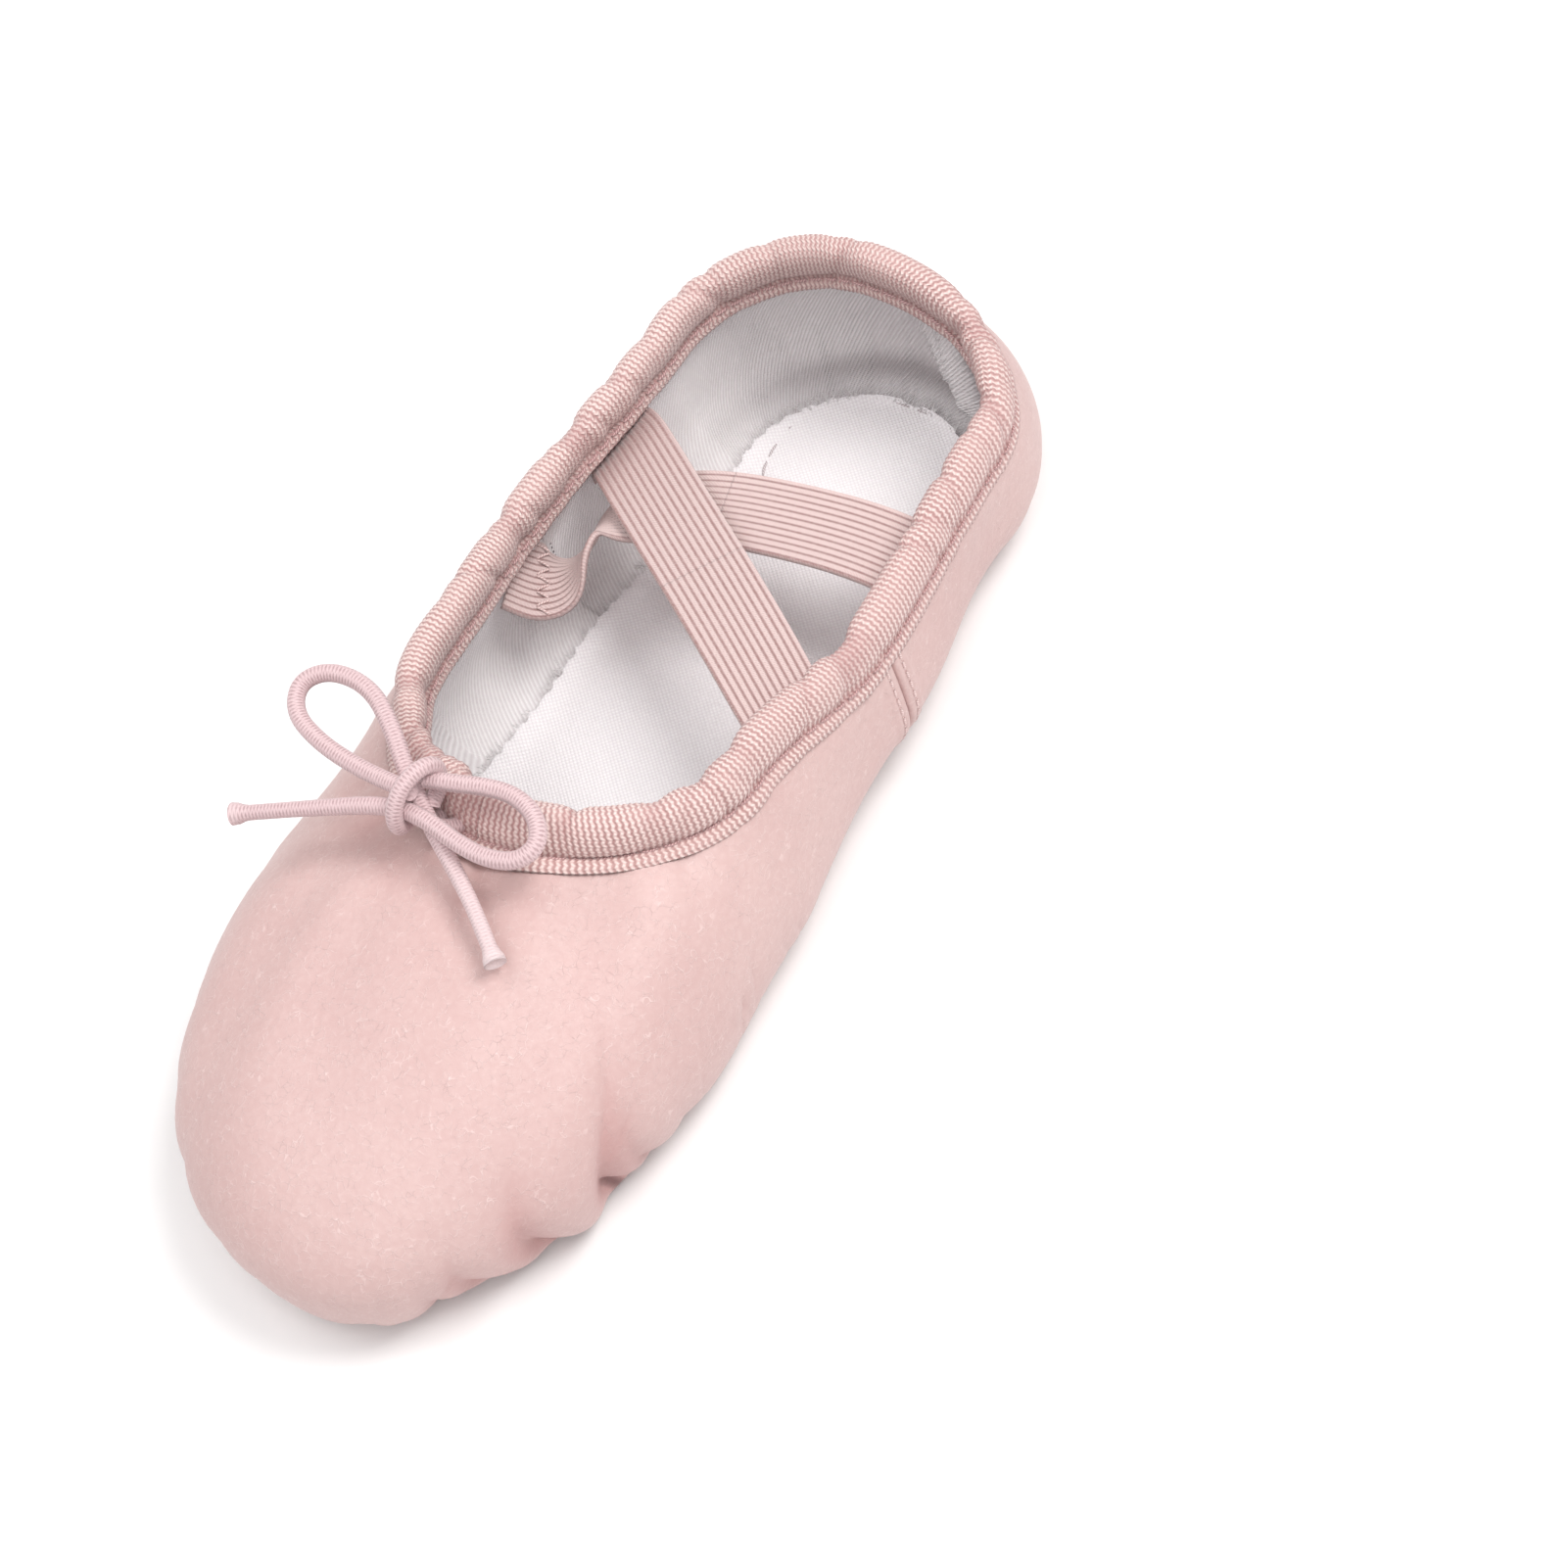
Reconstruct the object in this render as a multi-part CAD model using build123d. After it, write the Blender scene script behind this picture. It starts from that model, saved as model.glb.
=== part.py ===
from build123d import *
import os
from math import atan2, cos, degrees, hypot, pi, radians, sin, sqrt, tan

# Child's split-sole ballet slipper, right way up on its sole patches.
# +X points to the toe, +Y to the wearer's left, +Z up. Millimetres.

# ---- driving dimensions --------------------------------------------------
TOE_X = 90.0             # tip of the toe
HEEL_X = -90.0           # back of the heel
BALL_X = 34.0            # widest place of the forefoot
BALL_HALF = 36.0
WAIST_X = -24.0          # middle of the arch
WAIST_HALF = 31.5
TOE_FULLNESS = 2.15      # exponent of the toe's outline

FAN_X = 2.0              # centre that the toe's pattern lines fan out from
HEEL_FAN_X = -61.0       # the same for the heel
HEEL_HALF = 28.5

# height of the widest line of the wall
WIDE_Z_TOE = 15.0
WIDE_Z_SIDE = 12.5
WIDE_Z_HEEL = 13.0
TURN_UNDER = 9.0         # how far the wall curls in to the flat sole

# topline: centre line of the rolled binding, as a radius from the fan centres
RIM_THROAT = 24.0
RIM_SIDE = 26.0
RIM_WAIST = 29.0
RIM_HEEL = 27.0
RIM_BACK = 18.0
RIM_Z_THROAT = 40.0
RIM_Z_SIDE = 35.5
RIM_Z_WAIST = 31.5
RIM_Z_HEEL = 31.5
RIM_Z_BACK = 39.0

SEAM_X = -26.0           # side seams between the vamp and the heel quarter
SEAM_GAP = 0.1           # clearance between the two leathers at each seam

LEATHER = 1.0
LINING = 0.6
PLY_GAP = 0.1            # clearance between two plies
PATCH = 1.4              # suede sole patches
INSOLE = 0.9
INSOLE_TUCK = 0.5        # the insole reaches this far up the lining's curve
BINDING_R = 3.1          # rolled binding
BINDING_SEAT = 4.0       # from its centre line down to the leather's edge
CHANNEL_R = 1.6          # channel inside it
CORD_R = 1.25            # elastic drawstring

PATCH_CENTRE_X = 37.0
PATCH_LENGTH_HALF = 32.0
PATCH_WIDTH_HALF = 27.0
HEEL_PATCH_CENTRE_X = -66.0
HEEL_PATCH_LENGTH_HALF = 16.0
HEEL_PATCH_WIDTH_HALF = 18.0
PATCH_MARGIN = 9.0       # leather turned in over the patch, all round
PATCH_POWER = 2.3        # squareness of the patches
PATCH_TAPER = 0.08       # the patches are wider towards their own front

STRAP_WIDTH = 13.0
STRAP_THICK = 1.0
STRAP_END_Z = 22.6
# where each strap's ends meet the walls: x and y at the back, then at the front
UPPER_STRAP = ((-44.5, -26.2), (-8.5, 27.4))
LOWER_STRAP = ((-43.0, 26.3), (-16.0, -27.4))
UPPER_STRAP_RISE = 8.5
LOWER_STRAP_RISE = 4.5
TACK_SHARE = 0.72        # place of the tacks up the wall
TACK_PITCH = 4.0
TACK_LENGTH = 1.6

# how steeply the binding stands on the wall, in degrees
LEAN_THROAT = 50.0
LEAN_SIDE = 78.0
LEAN_TURN = 60.0         # degrees round from the throat where it reaches the second one
CURL_THROAT = 80.0       # arc of the wall above its widest line
CURL_SIDE = 50.0

# stitches
THREAD = 0.5
THREAD_Z = 0.3           # middle height of a stitch sunk in the suede
STITCH_SUNK = 0.4
FINE_STITCH = (1.6, 0.4, 0.3)
SURFACE_LIFT = 0.3       # from a surface to the middle of a stitch lying on it
ARCH_PITCH = 3.2
ARCH_ROW_Y = 2.8
SEAM_ROWS = (1.6, -1.8)  # topstitching in front of and behind a side seam's edge
SEAM_STITCHES = 8
SEAM_FIRST = 0.08        # place of the first stitch up the wall, and the step to the next
SEAM_STEP = 0.11
BINDING_ROW = 1.5        # from the leather's edge down to the binding's stitches
BINDING_STITCH_LIFT = 0.4

KNOT = (30.6, -8.0, 43.8)
KNOT_R = 3.3

TOE_STEPS = 13           # pattern lines over a quarter turn at the toe
HEEL_STEPS = 9
SIDE_STEPS = 7
ROW_GAP = 0.06           # no pattern line lies nearer to a side seam than this share of the side

SEAM_HALF = 0.3          # half the slit between the two edges of the arch seam
SOLE_Z = PATCH + PLY_GAP
LINING_IN = LEATHER + PLY_GAP
LINING_OUT = LINING_IN + LINING
FLOOR_Z = SOLE_Z + LINING_OUT


# ---- the shape of the shoe -----------------------------------------------
def ease(a, b, t):
    """Smooth step from a to b."""
    t = min(1.0, max(0.0, t))
    return a + (b - a) * t * t * (3 - 2 * t)


def half_width(x):
    """Half the width of the outline in plan, at x."""
    if x >= BALL_X:
        q = min(1.0, (x - BALL_X) / (TOE_X - BALL_X))
        return BALL_HALF * (1 - q**TOE_FULLNESS) ** (1 / TOE_FULLNESS)
    if x >= WAIST_X:
        return ease(WAIST_HALF, BALL_HALF, (x - WAIST_X) / (BALL_X - WAIST_X))
    if x >= HEEL_FAN_X:
        return ease(HEEL_HALF, WAIST_HALF, (x - HEEL_FAN_X) / (WAIST_X - HEEL_FAN_X))
    q = min(1.0, (HEEL_FAN_X - x) / (HEEL_FAN_X - HEEL_X))
    return HEEL_HALF * sqrt(1 - q * q)


def reach(centre, angle):
    """Distance in plan from a fan centre to the outline."""
    near = 0.0
    far = 120.0
    for _ in range(40):
        middle = (near + far) / 2
        x = centre + middle * cos(angle)
        inside = HEEL_X < x < TOE_X and middle * sin(angle) < half_width(x)
        near, far = (middle, far) if inside else (near, middle)
    return near


def egg(centre, length_half, width_half, angle):
    """Point at an angle round a sole patch or the opening over it."""
    c = cos(angle)
    s = abs(sin(angle))
    x = centre + length_half * abs(c) ** (2 / PATCH_POWER) * (1 if c > 0 else -1)
    y = width_half * (1 + PATCH_TAPER * c) * s ** (2 / PATCH_POWER)
    return x, y if sin(angle) >= 0 else -y


def forefoot_edge(angle, inset=0.0):
    return egg(PATCH_CENTRE_X, PATCH_LENGTH_HALF - inset, PATCH_WIDTH_HALF - inset, angle)


def heel_edge(angle, inset=0.0):
    return egg(HEEL_PATCH_CENTRE_X, HEEL_PATCH_LENGTH_HALF - inset, HEEL_PATCH_WIDTH_HALF - inset, angle)


def station(kind, t):
    """The numbers of one pattern line: fan centre, angle, rim radius, heights and curl."""
    if kind == "toe":
        angle = radians(90 * t)
        ellipse = sqrt((cos(angle) / RIM_THROAT) ** 2 + (sin(angle) / RIM_SIDE) ** 2)
        heights = (ease(RIM_Z_THROAT, RIM_Z_SIDE, t), ease(WIDE_Z_TOE, WIDE_Z_SIDE, t))
        return FAN_X, angle, 1 / ellipse, heights, ease(CURL_THROAT, CURL_SIDE, t)
    if kind == "side":
        x = FAN_X + (HEEL_FAN_X - FAN_X) * t
        front = (FAN_X - x) / (FAN_X - WAIST_X)
        back = (WAIST_X - x) / (WAIST_X - HEEL_FAN_X)
        rim = ease(RIM_SIDE, RIM_WAIST, front) + ease(0, RIM_HEEL - RIM_WAIST, back)
        height = ease(RIM_Z_SIDE, RIM_Z_WAIST, front) + ease(0, RIM_Z_HEEL - RIM_Z_WAIST, back)
        return x, pi / 2, rim, (height, ease(WIDE_Z_SIDE, WIDE_Z_HEEL, t)), CURL_SIDE
    angle = radians(90 + 90 * t)
    heights = (ease(RIM_Z_HEEL, RIM_Z_BACK, t), WIDE_Z_HEEL)
    return HEEL_FAN_X, angle, ease(RIM_HEEL, RIM_BACK, t), heights, CURL_SIDE


def lean(angle):
    """How steeply the binding stands on the wall."""
    return radians(ease(LEAN_THROAT, LEAN_SIDE, degrees(angle) / LEAN_TURN))


def place(row, r, z):
    """Point at radius r and height z on a pattern line (kind, t, side)."""
    centre, angle = station(row[0], row[1])[:2]
    return Vector(centre + r * cos(angle), row[2] * r * sin(angle), z)


def wall(row):
    """Leather's outer face on one pattern line, as (r, z) from the sole's edge up to the binding."""
    centre, angle, rim, (height, wide_z), curl = station(row[0], row[1])
    top_r = rim + BINDING_SEAT * cos(lean(angle))
    top_z = height - BINDING_SEAT * sin(lean(angle))
    full = reach(centre, angle)
    end = radians(curl)
    inward = (full - top_r) / (1 - cos(end))
    upward = (top_z - wide_z) / sin(end)
    points = []
    for k in range(4):
        s = pi / 2 * (1 - k / 4)
        points.append((full - TURN_UNDER * (1 - cos(s)), wide_z - (wide_z - SOLE_Z) * sin(s)))
    for k in range(7):
        s = end * k / 6
        points.append((full - inward * (1 - cos(s)), wide_z + upward * sin(s)))
    return points


def sunk(points, depth):
    """The same line moved inward by a depth."""
    moved = []
    last = len(points) - 1
    for k, (r, z) in enumerate(points):
        before = points[max(k - 1, 0)]
        after = points[min(k + 1, last)]
        dr = after[0] - before[0]
        dz = after[1] - before[1]
        if k == 0:
            dr, dz = 1.0, 0.0
        size = hypot(dr, dz)
        moved.append((r - dz / size * depth, z + dr / size * depth))
    return moved


def section(row, outer, inner):
    """Closed outline of a ply on one pattern line."""
    near = sunk(wall(row), outer)
    far = sunk(wall(row), inner)
    low = place(row, SEAM_HALF, near[0][1])
    high = place(row, SEAM_HALF, far[0][1])
    face = [place(row, r, z) for r, z in near]
    back = [place(row, r, z) for r, z in far]
    edges = [
        Line(low, face[0]),
        Spline(*face),
        Line(face[-1], back[-1]),
        Spline(*reversed(back)),
        Line(back[0], high),
        Line(high, low),
    ]
    return Wire(edges)


def half_rows():
    """Pattern lines from the toe's centre to the heel's centre, on the left side."""
    rows = [("toe", k / TOE_STEPS, 1) for k in range(TOE_STEPS + 1)]
    rows += [("side", k / SIDE_STEPS, 1) for k in range(1, SIDE_STEPS + 1)]
    rows += [("heel", k / HEEL_STEPS, 1) for k in range(1, HEEL_STEPS + 1)]
    return rows


def mirrored(rows):
    return [(kind, t, -side) for kind, t, side in rows]


def side_row(x, side):
    """Pattern line of the side wall at x."""
    return "side", (x - FAN_X) / (HEEL_FAN_X - FAN_X), side


def vamp_rows():
    """Pattern lines of the front piece, from the right seam round the toe to the left seam."""
    seam = side_row(SEAM_X, 1)
    last = seam[1] - ROW_GAP
    left = [row for row in half_rows() if row[0] == "toe" or (row[0] == "side" and row[1] < last)]
    left.append(seam)
    return mirrored(reversed(left[1:])) + left


def quarter_rows():
    """Pattern lines of the back piece, from the left seam round the heel to the right seam."""
    seam = side_row(SEAM_X - SEAM_GAP, 1)
    first = seam[1] + ROW_GAP
    left = [row for row in half_rows() if row[0] == "heel" or (row[0] == "side" and row[1] > first)]
    left.insert(0, seam)
    return left + mirrored(reversed(left[:-1]))


def ply(rows, outer, inner, edge):
    """A skin between two depths inside the leather's outer face, open over its sole patch."""
    skin = Solid.make_loft([section(row, outer, inner) for row in rows], ruled=True)
    opening = plate(around(edge, PATCH_MARGIN), SOLE_Z - 1, LINING_OUT + 3)
    return skin - opening


# ---- sole ----------------------------------------------------------------
STITCH_ROWS = {          # patch edge, inset from it, number of stitches, length of one
    "forefoot_stitch_outer": (forefoot_edge, 3.0, 38, 3.0),
    "forefoot_stitch_inner": (forefoot_edge, 6.6, 34, 2.8),
    "heel_stitch_outer": (heel_edge, 2.6, 22, 2.8),
    "heel_stitch_inner": (heel_edge, 5.6, 17, 2.6),
}


def plate(outline, bottom, thickness):
    """Flat plate with the given closed outline."""
    edge = Spline(*[Vector(x, y, bottom) for x, y in outline], periodic=True)
    return extrude(make_face(edge), amount=thickness, dir=(0, 0, 1))


def around(edge, inset, steps=24):
    return [edge(2 * pi * k / steps, inset) for k in range(steps)]


def insole_outline():
    """Outline of the insole, a little inside the lining's turn."""
    inset = TURN_UNDER + LINING_OUT - INSOLE_TUCK
    outline = []
    for row in half_rows():
        centre, angle = station(*row[:2])[:2]
        r = reach(centre, angle) - inset
        outline.append((centre + r * cos(angle), r * sin(angle)))
    return outline + [(x, -y) for x, y in reversed(outline[1:-1])]


def stitch_row(edge, inset, count, length, height):
    """Single stitches laid end to end round a patch, with a gap between them."""
    solids = []
    for k in range(count):
        here = edge(2 * pi * k / count, inset)
        there = edge(2 * pi * (k + 0.1) / count, inset)
        turn = degrees(atan2(there[1] - here[1], there[0] - here[0]))
        solids.append(Pos(here[0], here[1], THREAD_Z) * Rotation(0, 0, turn) * Box(length, THREAD, height))
    return solids


def sole_patch(edge, names):
    """Suede patch with a pocket for each stitch."""
    patch = plate(around(edge, 0.0), 0.0, PATCH)
    for name in names:
        where, inset, count, length = STITCH_ROWS[name]
        patch -= stitch_row(where, inset, count, length + 0.2, 2 * THREAD_Z + 0.1)
    return patch


def pad(edge):
    """Thin filler in the opening of the leather and lining over a patch."""
    return plate(around(edge, PATCH_MARGIN + 0.4), SOLE_Z, LINING_OUT)


# ---- seams on the leather ------------------------------------------------
def wall_frame(row, share, lift):
    """A plane on the side wall: x up along the pattern line, z outward."""
    upper = wall(row)[4:]
    spot = share * (len(upper) - 1)
    j = min(int(spot), len(upper) - 2)
    dr = upper[j + 1][0] - upper[j][0]
    dz = upper[j + 1][1] - upper[j][1]
    here = place(row, upper[j][0] + dr * (spot - j), upper[j][1] + dz * (spot - j))
    size = hypot(dr, dz)
    out = Vector(0, row[2] * dz / size, -dr / size)
    up = Vector(0, row[2] * dr / size, dz / size)
    return Plane(here + out * lift, x_dir=up, z_dir=out)


def seam_stitches(side):
    """Two rows of stitches up one side seam, in front of and behind its edge."""
    solids = []
    for shift in SEAM_ROWS:
        row = side_row(SEAM_X + shift, side)
        for k in range(SEAM_STITCHES):
            share = SEAM_FIRST + SEAM_STEP * k
            solids.append(wall_frame(row, share, SURFACE_LIFT) * Box(*FINE_STITCH))
    return solids


def arch_stitches(y):
    """A row of stitches beside the centre seam under the arch."""
    front = forefoot_edge(pi)[0] - 2.0
    back = heel_edge(0)[0] + 2.0
    count = int((front - back) / ARCH_PITCH)
    return [
        Pos(front - ARCH_PITCH * (k + 0.5), y, SOLE_Z - SURFACE_LIFT) * Box(*FINE_STITCH)
        for k in range(count)
    ]


# ---- topline, straps and bow ---------------------------------------------
def rim_loop():
    """Corner points of the binding's centre line, all the way round."""
    rows = [("toe", k / 4, 1) for k in range(4)]
    rows += [("side", k / 3, 1) for k in range(4)]
    rows += [("heel", k / 4, 1) for k in range(1, 5)]
    rows += mirrored(reversed(rows[1:-1]))
    return [place(row, station(*row[:2])[2], station(*row[:2])[3][0]) for row in rows]


def arc_radii(points, closed):
    """Largest arc at each corner of a route: 0.45 of the shorter run over tan of half the turn."""
    count = len(points)
    radii = []
    for k in range(count) if closed else range(1, count - 1):
        before = points[k] - points[k - 1]
        after = points[(k + 1) % count] - points[k]
        turn = radians(before.get_angle(after))
        radii.append(0.45 * min(before.length, after.length) / tan(turn / 2))
    return radii


def tube(points, radius, bore=0.0, closed=False):
    """Round tube along straight runs joined by tangent arcs."""
    path = FilletPolyline(*points, radius=arc_radii(points, closed), close=closed)
    start = Plane(path.position_at(0), z_dir=path.tangent_at(0))
    section = start * Circle(radius)
    if bore:
        section -= start * Circle(bore)
    return sweep(section, path=path)


def binding_stitches():
    """Stitches just under the binding, all the way round."""
    rows = [("toe", k / 16, 1) for k in range(17)]
    rows += [("side", k / 16, 1) for k in range(1, 17)]
    rows += [("heel", k / 12, 1) for k in range(1, 13)]
    solids = []
    for row in rows + mirrored(rows[1:-1]):
        angle = station(*row[:2])[1]
        line = wall(row)
        dr = line[-1][0] - line[-2][0]
        dz = line[-1][1] - line[-2][1]
        size = hypot(dr, dz)
        down_r = dr / size * BINDING_ROW
        down_z = dz / size * BINDING_ROW
        here = place(row, line[-1][0] - down_r, line[-1][1] - down_z)
        across = Vector(cos(angle), row[2] * sin(angle), 0)
        out = across * (dz / size) + Vector(0, 0, -dr / size)
        along = Vector(-row[2] * sin(angle), cos(angle), 0)
        solids.append(Plane(here + out * BINDING_STITCH_LIFT, x_dir=along, z_dir=out) * Box(*FINE_STITCH))
    return solids


def strap(ends, rise):
    """Elastic strap in a low arc from the back of one wall to the front of the other."""
    rear = Vector(*ends[0], STRAP_END_Z)
    front = Vector(*ends[1], STRAP_END_Z)
    run = front - rear
    half = run.length / 2
    side_view = Plane((rear + front) * 0.5, x_dir=run, z_dir=run.cross(Vector(0, 0, 1)))
    under = ThreePointArc((-half, 0), (0, rise), (half, 0))
    over = ThreePointArc((-half, STRAP_THICK), (0, rise + STRAP_THICK), (half, STRAP_THICK))
    closing = [Line(under @ 0, over @ 0), Line(under @ 1, over @ 1)]
    face = side_view * make_face([under, over] + closing)
    across = STRAP_WIDTH / 2 * run.length / abs(run.Y)
    return extrude(face, amount=across, dir=(1, 0, 0), both=True)


def strap_tacks():
    """Stitches through the wall at the four ends of the straps."""
    solids = []
    for x, y in UPPER_STRAP + LOWER_STRAP:
        for k in (-1, 0, 1):
            row = side_row(x + TACK_PITCH * k, 1 if y > 0 else -1)
            bar = Box(FINE_STITCH[1], TACK_LENGTH, FINE_STITCH[2])
            solids.append(wall_frame(row, TACK_SHARE, SURFACE_LIFT) * bar)
    return solids


def bow_knot():
    """Knot of the bow, with the turn of cord that wraps it."""
    wrap = Torus(KNOT_R - 0.3, CORD_R)
    return Pos(*KNOT) * (Sphere(KNOT_R) + Rotation(90, 0, 55) * wrap)


# Each strand leaves the knot as a loop, comes back through it and ends in a tail.
LEFT_STRAND = [
    (30.2, -7.6, 45.8), (29.8, -11.6, 45.0), (29.5, -17.5, 44.7), (28.4, -24.5, 44.9),
    (26.2, -30.0, 45.6), (22.0, -31.6, 46.6), (18.9, -28.0, 47.4), (19.0, -21.5, 47.2),
    (22.6, -16.0, 46.0), (26.6, -11.6, 44.4), (29.2, -8.2, 42.9), (31.6, -4.8, 41.8),
    (33.8, -1.4, 41.1), (36.8, 3.2, 40.0), (40.4, 8.2, 39.0), (44.4, 13.0, 37.6),
]
RIGHT_STRAND = [
    (27.4, -7.4, 45.2), (26.6, -3.2, 45.7), (25.4, 1.0, 46.0), (24.8, 5.4, 46.1),
    (26.2, 9.8, 45.8), (29.4, 12.2, 45.0), (32.6, 10.6, 44.0), (33.8, 6.2, 43.6),
    (33.4, 1.0, 43.7), (32.2, -4.2, 44.0), (31.9, -9.4, 43.4), (33.4, -14.6, 42.6),
    (35.6, -20.0, 41.6), (38.0, -26.0, 40.4), (40.6, -32.4, 39.0),
]


def strand(name, route):
    points = [Vector(*p) for p in route]
    print(name, "arc radii", [round(r, 1) for r in arc_radii(points, False)])
    return tube(points, CORD_R)


# ---- all the pieces ------------------------------------------------------
def pieces():
    leather = (0.0, LEATHER)
    lining = (LINING_IN, LINING_OUT)
    forefoot_rows = ["forefoot_stitch_outer", "forefoot_stitch_inner"]
    heel_rows = ["heel_stitch_outer", "heel_stitch_inner"]
    made = {
        "vamp": ply(vamp_rows(), *leather, forefoot_edge),
        "vamp_lining": ply(vamp_rows(), *lining, forefoot_edge),
        "heel_quarter": ply(quarter_rows(), *leather, heel_edge),
        "quarter_lining": ply(quarter_rows(), *lining, heel_edge),
        "forefoot_pad": pad(forefoot_edge),
        "heel_pad": pad(heel_edge),
        "insole": plate(insole_outline(), FLOOR_Z, INSOLE),
        "forefoot_sole_patch": sole_patch(forefoot_edge, forefoot_rows),
        "heel_sole_patch": sole_patch(heel_edge, heel_rows),
        "side_seam_stitch_left": seam_stitches(1),
        "side_seam_stitch_right": seam_stitches(-1),
        "arch_seam_stitch_left": arch_stitches(ARCH_ROW_Y),
        "arch_seam_stitch_right": arch_stitches(-ARCH_ROW_Y),
        "topline_binding": tube(rim_loop(), BINDING_R, CHANNEL_R, closed=True),
        "casing_drawstring": tube(rim_loop(), CORD_R, closed=True),
        "binding_stitch": binding_stitches(),
        "cross_strap_upper": strap(UPPER_STRAP, UPPER_STRAP_RISE),
        "cross_strap_lower": strap(LOWER_STRAP, LOWER_STRAP_RISE),
        "strap_tacks": strap_tacks(),
        "bow_knot": bow_knot(),
        "bow_cord_left": strand("bow_cord_left", LEFT_STRAND),
        "bow_cord_right": strand("bow_cord_right", RIGHT_STRAND),
    }
    for name, (edge, inset, count, length) in STITCH_ROWS.items():
        made[name] = stitch_row(edge, inset, count, length, STITCH_SUNK)
    return made


def main():
    os.makedirs("parts", exist_ok=True)
    for name, shape in pieces().items():
        if isinstance(shape, list):
            shape = Compound(children=shape)
        export_step(shape, f"parts/{name}.step")


main()
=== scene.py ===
import math
import bpy
import numpy as np
from mathutils import Matrix, Vector


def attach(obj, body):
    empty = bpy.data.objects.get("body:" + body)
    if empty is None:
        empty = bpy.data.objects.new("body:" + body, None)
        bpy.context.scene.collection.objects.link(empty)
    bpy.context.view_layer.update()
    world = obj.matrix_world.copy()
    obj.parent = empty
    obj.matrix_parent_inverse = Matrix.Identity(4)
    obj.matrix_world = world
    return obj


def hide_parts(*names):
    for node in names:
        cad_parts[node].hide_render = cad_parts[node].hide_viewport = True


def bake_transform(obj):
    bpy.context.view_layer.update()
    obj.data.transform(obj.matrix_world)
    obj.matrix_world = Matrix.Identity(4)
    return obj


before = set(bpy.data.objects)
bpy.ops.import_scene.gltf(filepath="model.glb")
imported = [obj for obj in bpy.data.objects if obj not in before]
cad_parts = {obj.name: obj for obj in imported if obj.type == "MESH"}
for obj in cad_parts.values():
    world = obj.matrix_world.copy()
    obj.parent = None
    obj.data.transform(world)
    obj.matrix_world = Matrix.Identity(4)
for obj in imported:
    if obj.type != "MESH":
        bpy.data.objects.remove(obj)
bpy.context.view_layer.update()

# Split-sole ballet slipper. Shapes are worked out in millimetres and written to meshes in metres.
MM = 0.001
CIRCLE = 2 * math.pi
rng = np.random.default_rng(11)

# ---- driving dimensions, as in the CAD model ----
# outline in plan
TOE_X = 90.0
HEEL_X = -90.0
BALL_X = 34.0
BALL_HALF = 36.0
WAIST_X = -24.0
WAIST_HALF = 31.5
TOE_FULLNESS = 2.15
FAN_X = 2.0
HEEL_FAN_X = -61.0
HEEL_HALF = 28.5
# height of the widest line, and the leather's turn under it
WIDE_Z_TOE = 15.0
WIDE_Z_SIDE = 12.5
WIDE_Z_HEEL = 13.0
TURN_UNDER = 9.0
# rim: distance from the fan centres, and height
RIM_THROAT = 24.0
RIM_SIDE = 26.0
RIM_WAIST = 29.0
RIM_HEEL = 27.0
RIM_BACK = 18.0
RIM_Z_THROAT = 40.0
RIM_Z_SIDE = 35.5
RIM_Z_WAIST = 31.5
RIM_Z_HEEL = 31.5
RIM_Z_BACK = 39.0
SEAM_X = -26.0
BINDING_SEAT = 4.0
# layers, from the floor up and from the skin inward
PATCH = 1.4
SOLE_Z = 1.5
LEATHER = 1.0
LINING_IN = 1.1
LINING_OUT = 1.7
FLOOR_Z = 3.2
INSOLE = 0.9
# sole patches: centre x, half length, half width
PATCH_MARGIN = 9.0
PATCH_POWER = 2.3
PATCH_TAPER = 0.08
FOREFOOT_PATCH = (37.0, 32.0, 27.0)
HEEL_PATCH = (-66.0, 16.0, 18.0)
# cord, tape and elastic
CORD_R = 1.25
KNOT_RUN = -8.0          # place of the knot along the rim, from the toe's centre
RIB_PITCH = 0.86
STRAP_WIDTH = 13.0
STRAP_RIB = 1.08
# lift of the sole between the patches, in the looks only
ARCH_LIFT = 2.4
ARCH_X = -22.0
ARCH_LENGTH = 17.0
ARCH_FADE_Z = 26.0

SIDE_LENGTH = FAN_X - HEEL_FAN_X
SEAM_U = 1 + (FAN_X - SEAM_X) / SIDE_LENGTH


# ---- outline and wall of the shoe ----
def smooth(t):
    t = np.clip(t, 0.0, 1.0)
    return t * t * (3 - 2 * t)


def ease(a, b, t):
    return a + (b - a) * smooth(t)


def bell(d, width):
    return np.exp(-((d / width) ** 2))


def half_width(x):
    to_toe = np.clip((x - BALL_X) / (TOE_X - BALL_X), 0, 1)
    to_heel = np.clip((HEEL_FAN_X - x) / (HEEL_FAN_X - HEEL_X), 0, 1)
    toe = BALL_HALF * (1 - to_toe ** TOE_FULLNESS) ** (1 / TOE_FULLNESS)
    ball = ease(WAIST_HALF, BALL_HALF, (x - WAIST_X) / (BALL_X - WAIST_X))
    waist = ease(HEEL_HALF, WAIST_HALF, (x - HEEL_FAN_X) / (WAIST_X - HEEL_FAN_X))
    heel = HEEL_HALF * np.sqrt(1 - to_heel ** 2)
    return np.select([x >= BALL_X, x >= WAIST_X, x >= HEEL_FAN_X], [toe, ball, waist], heel)


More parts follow.
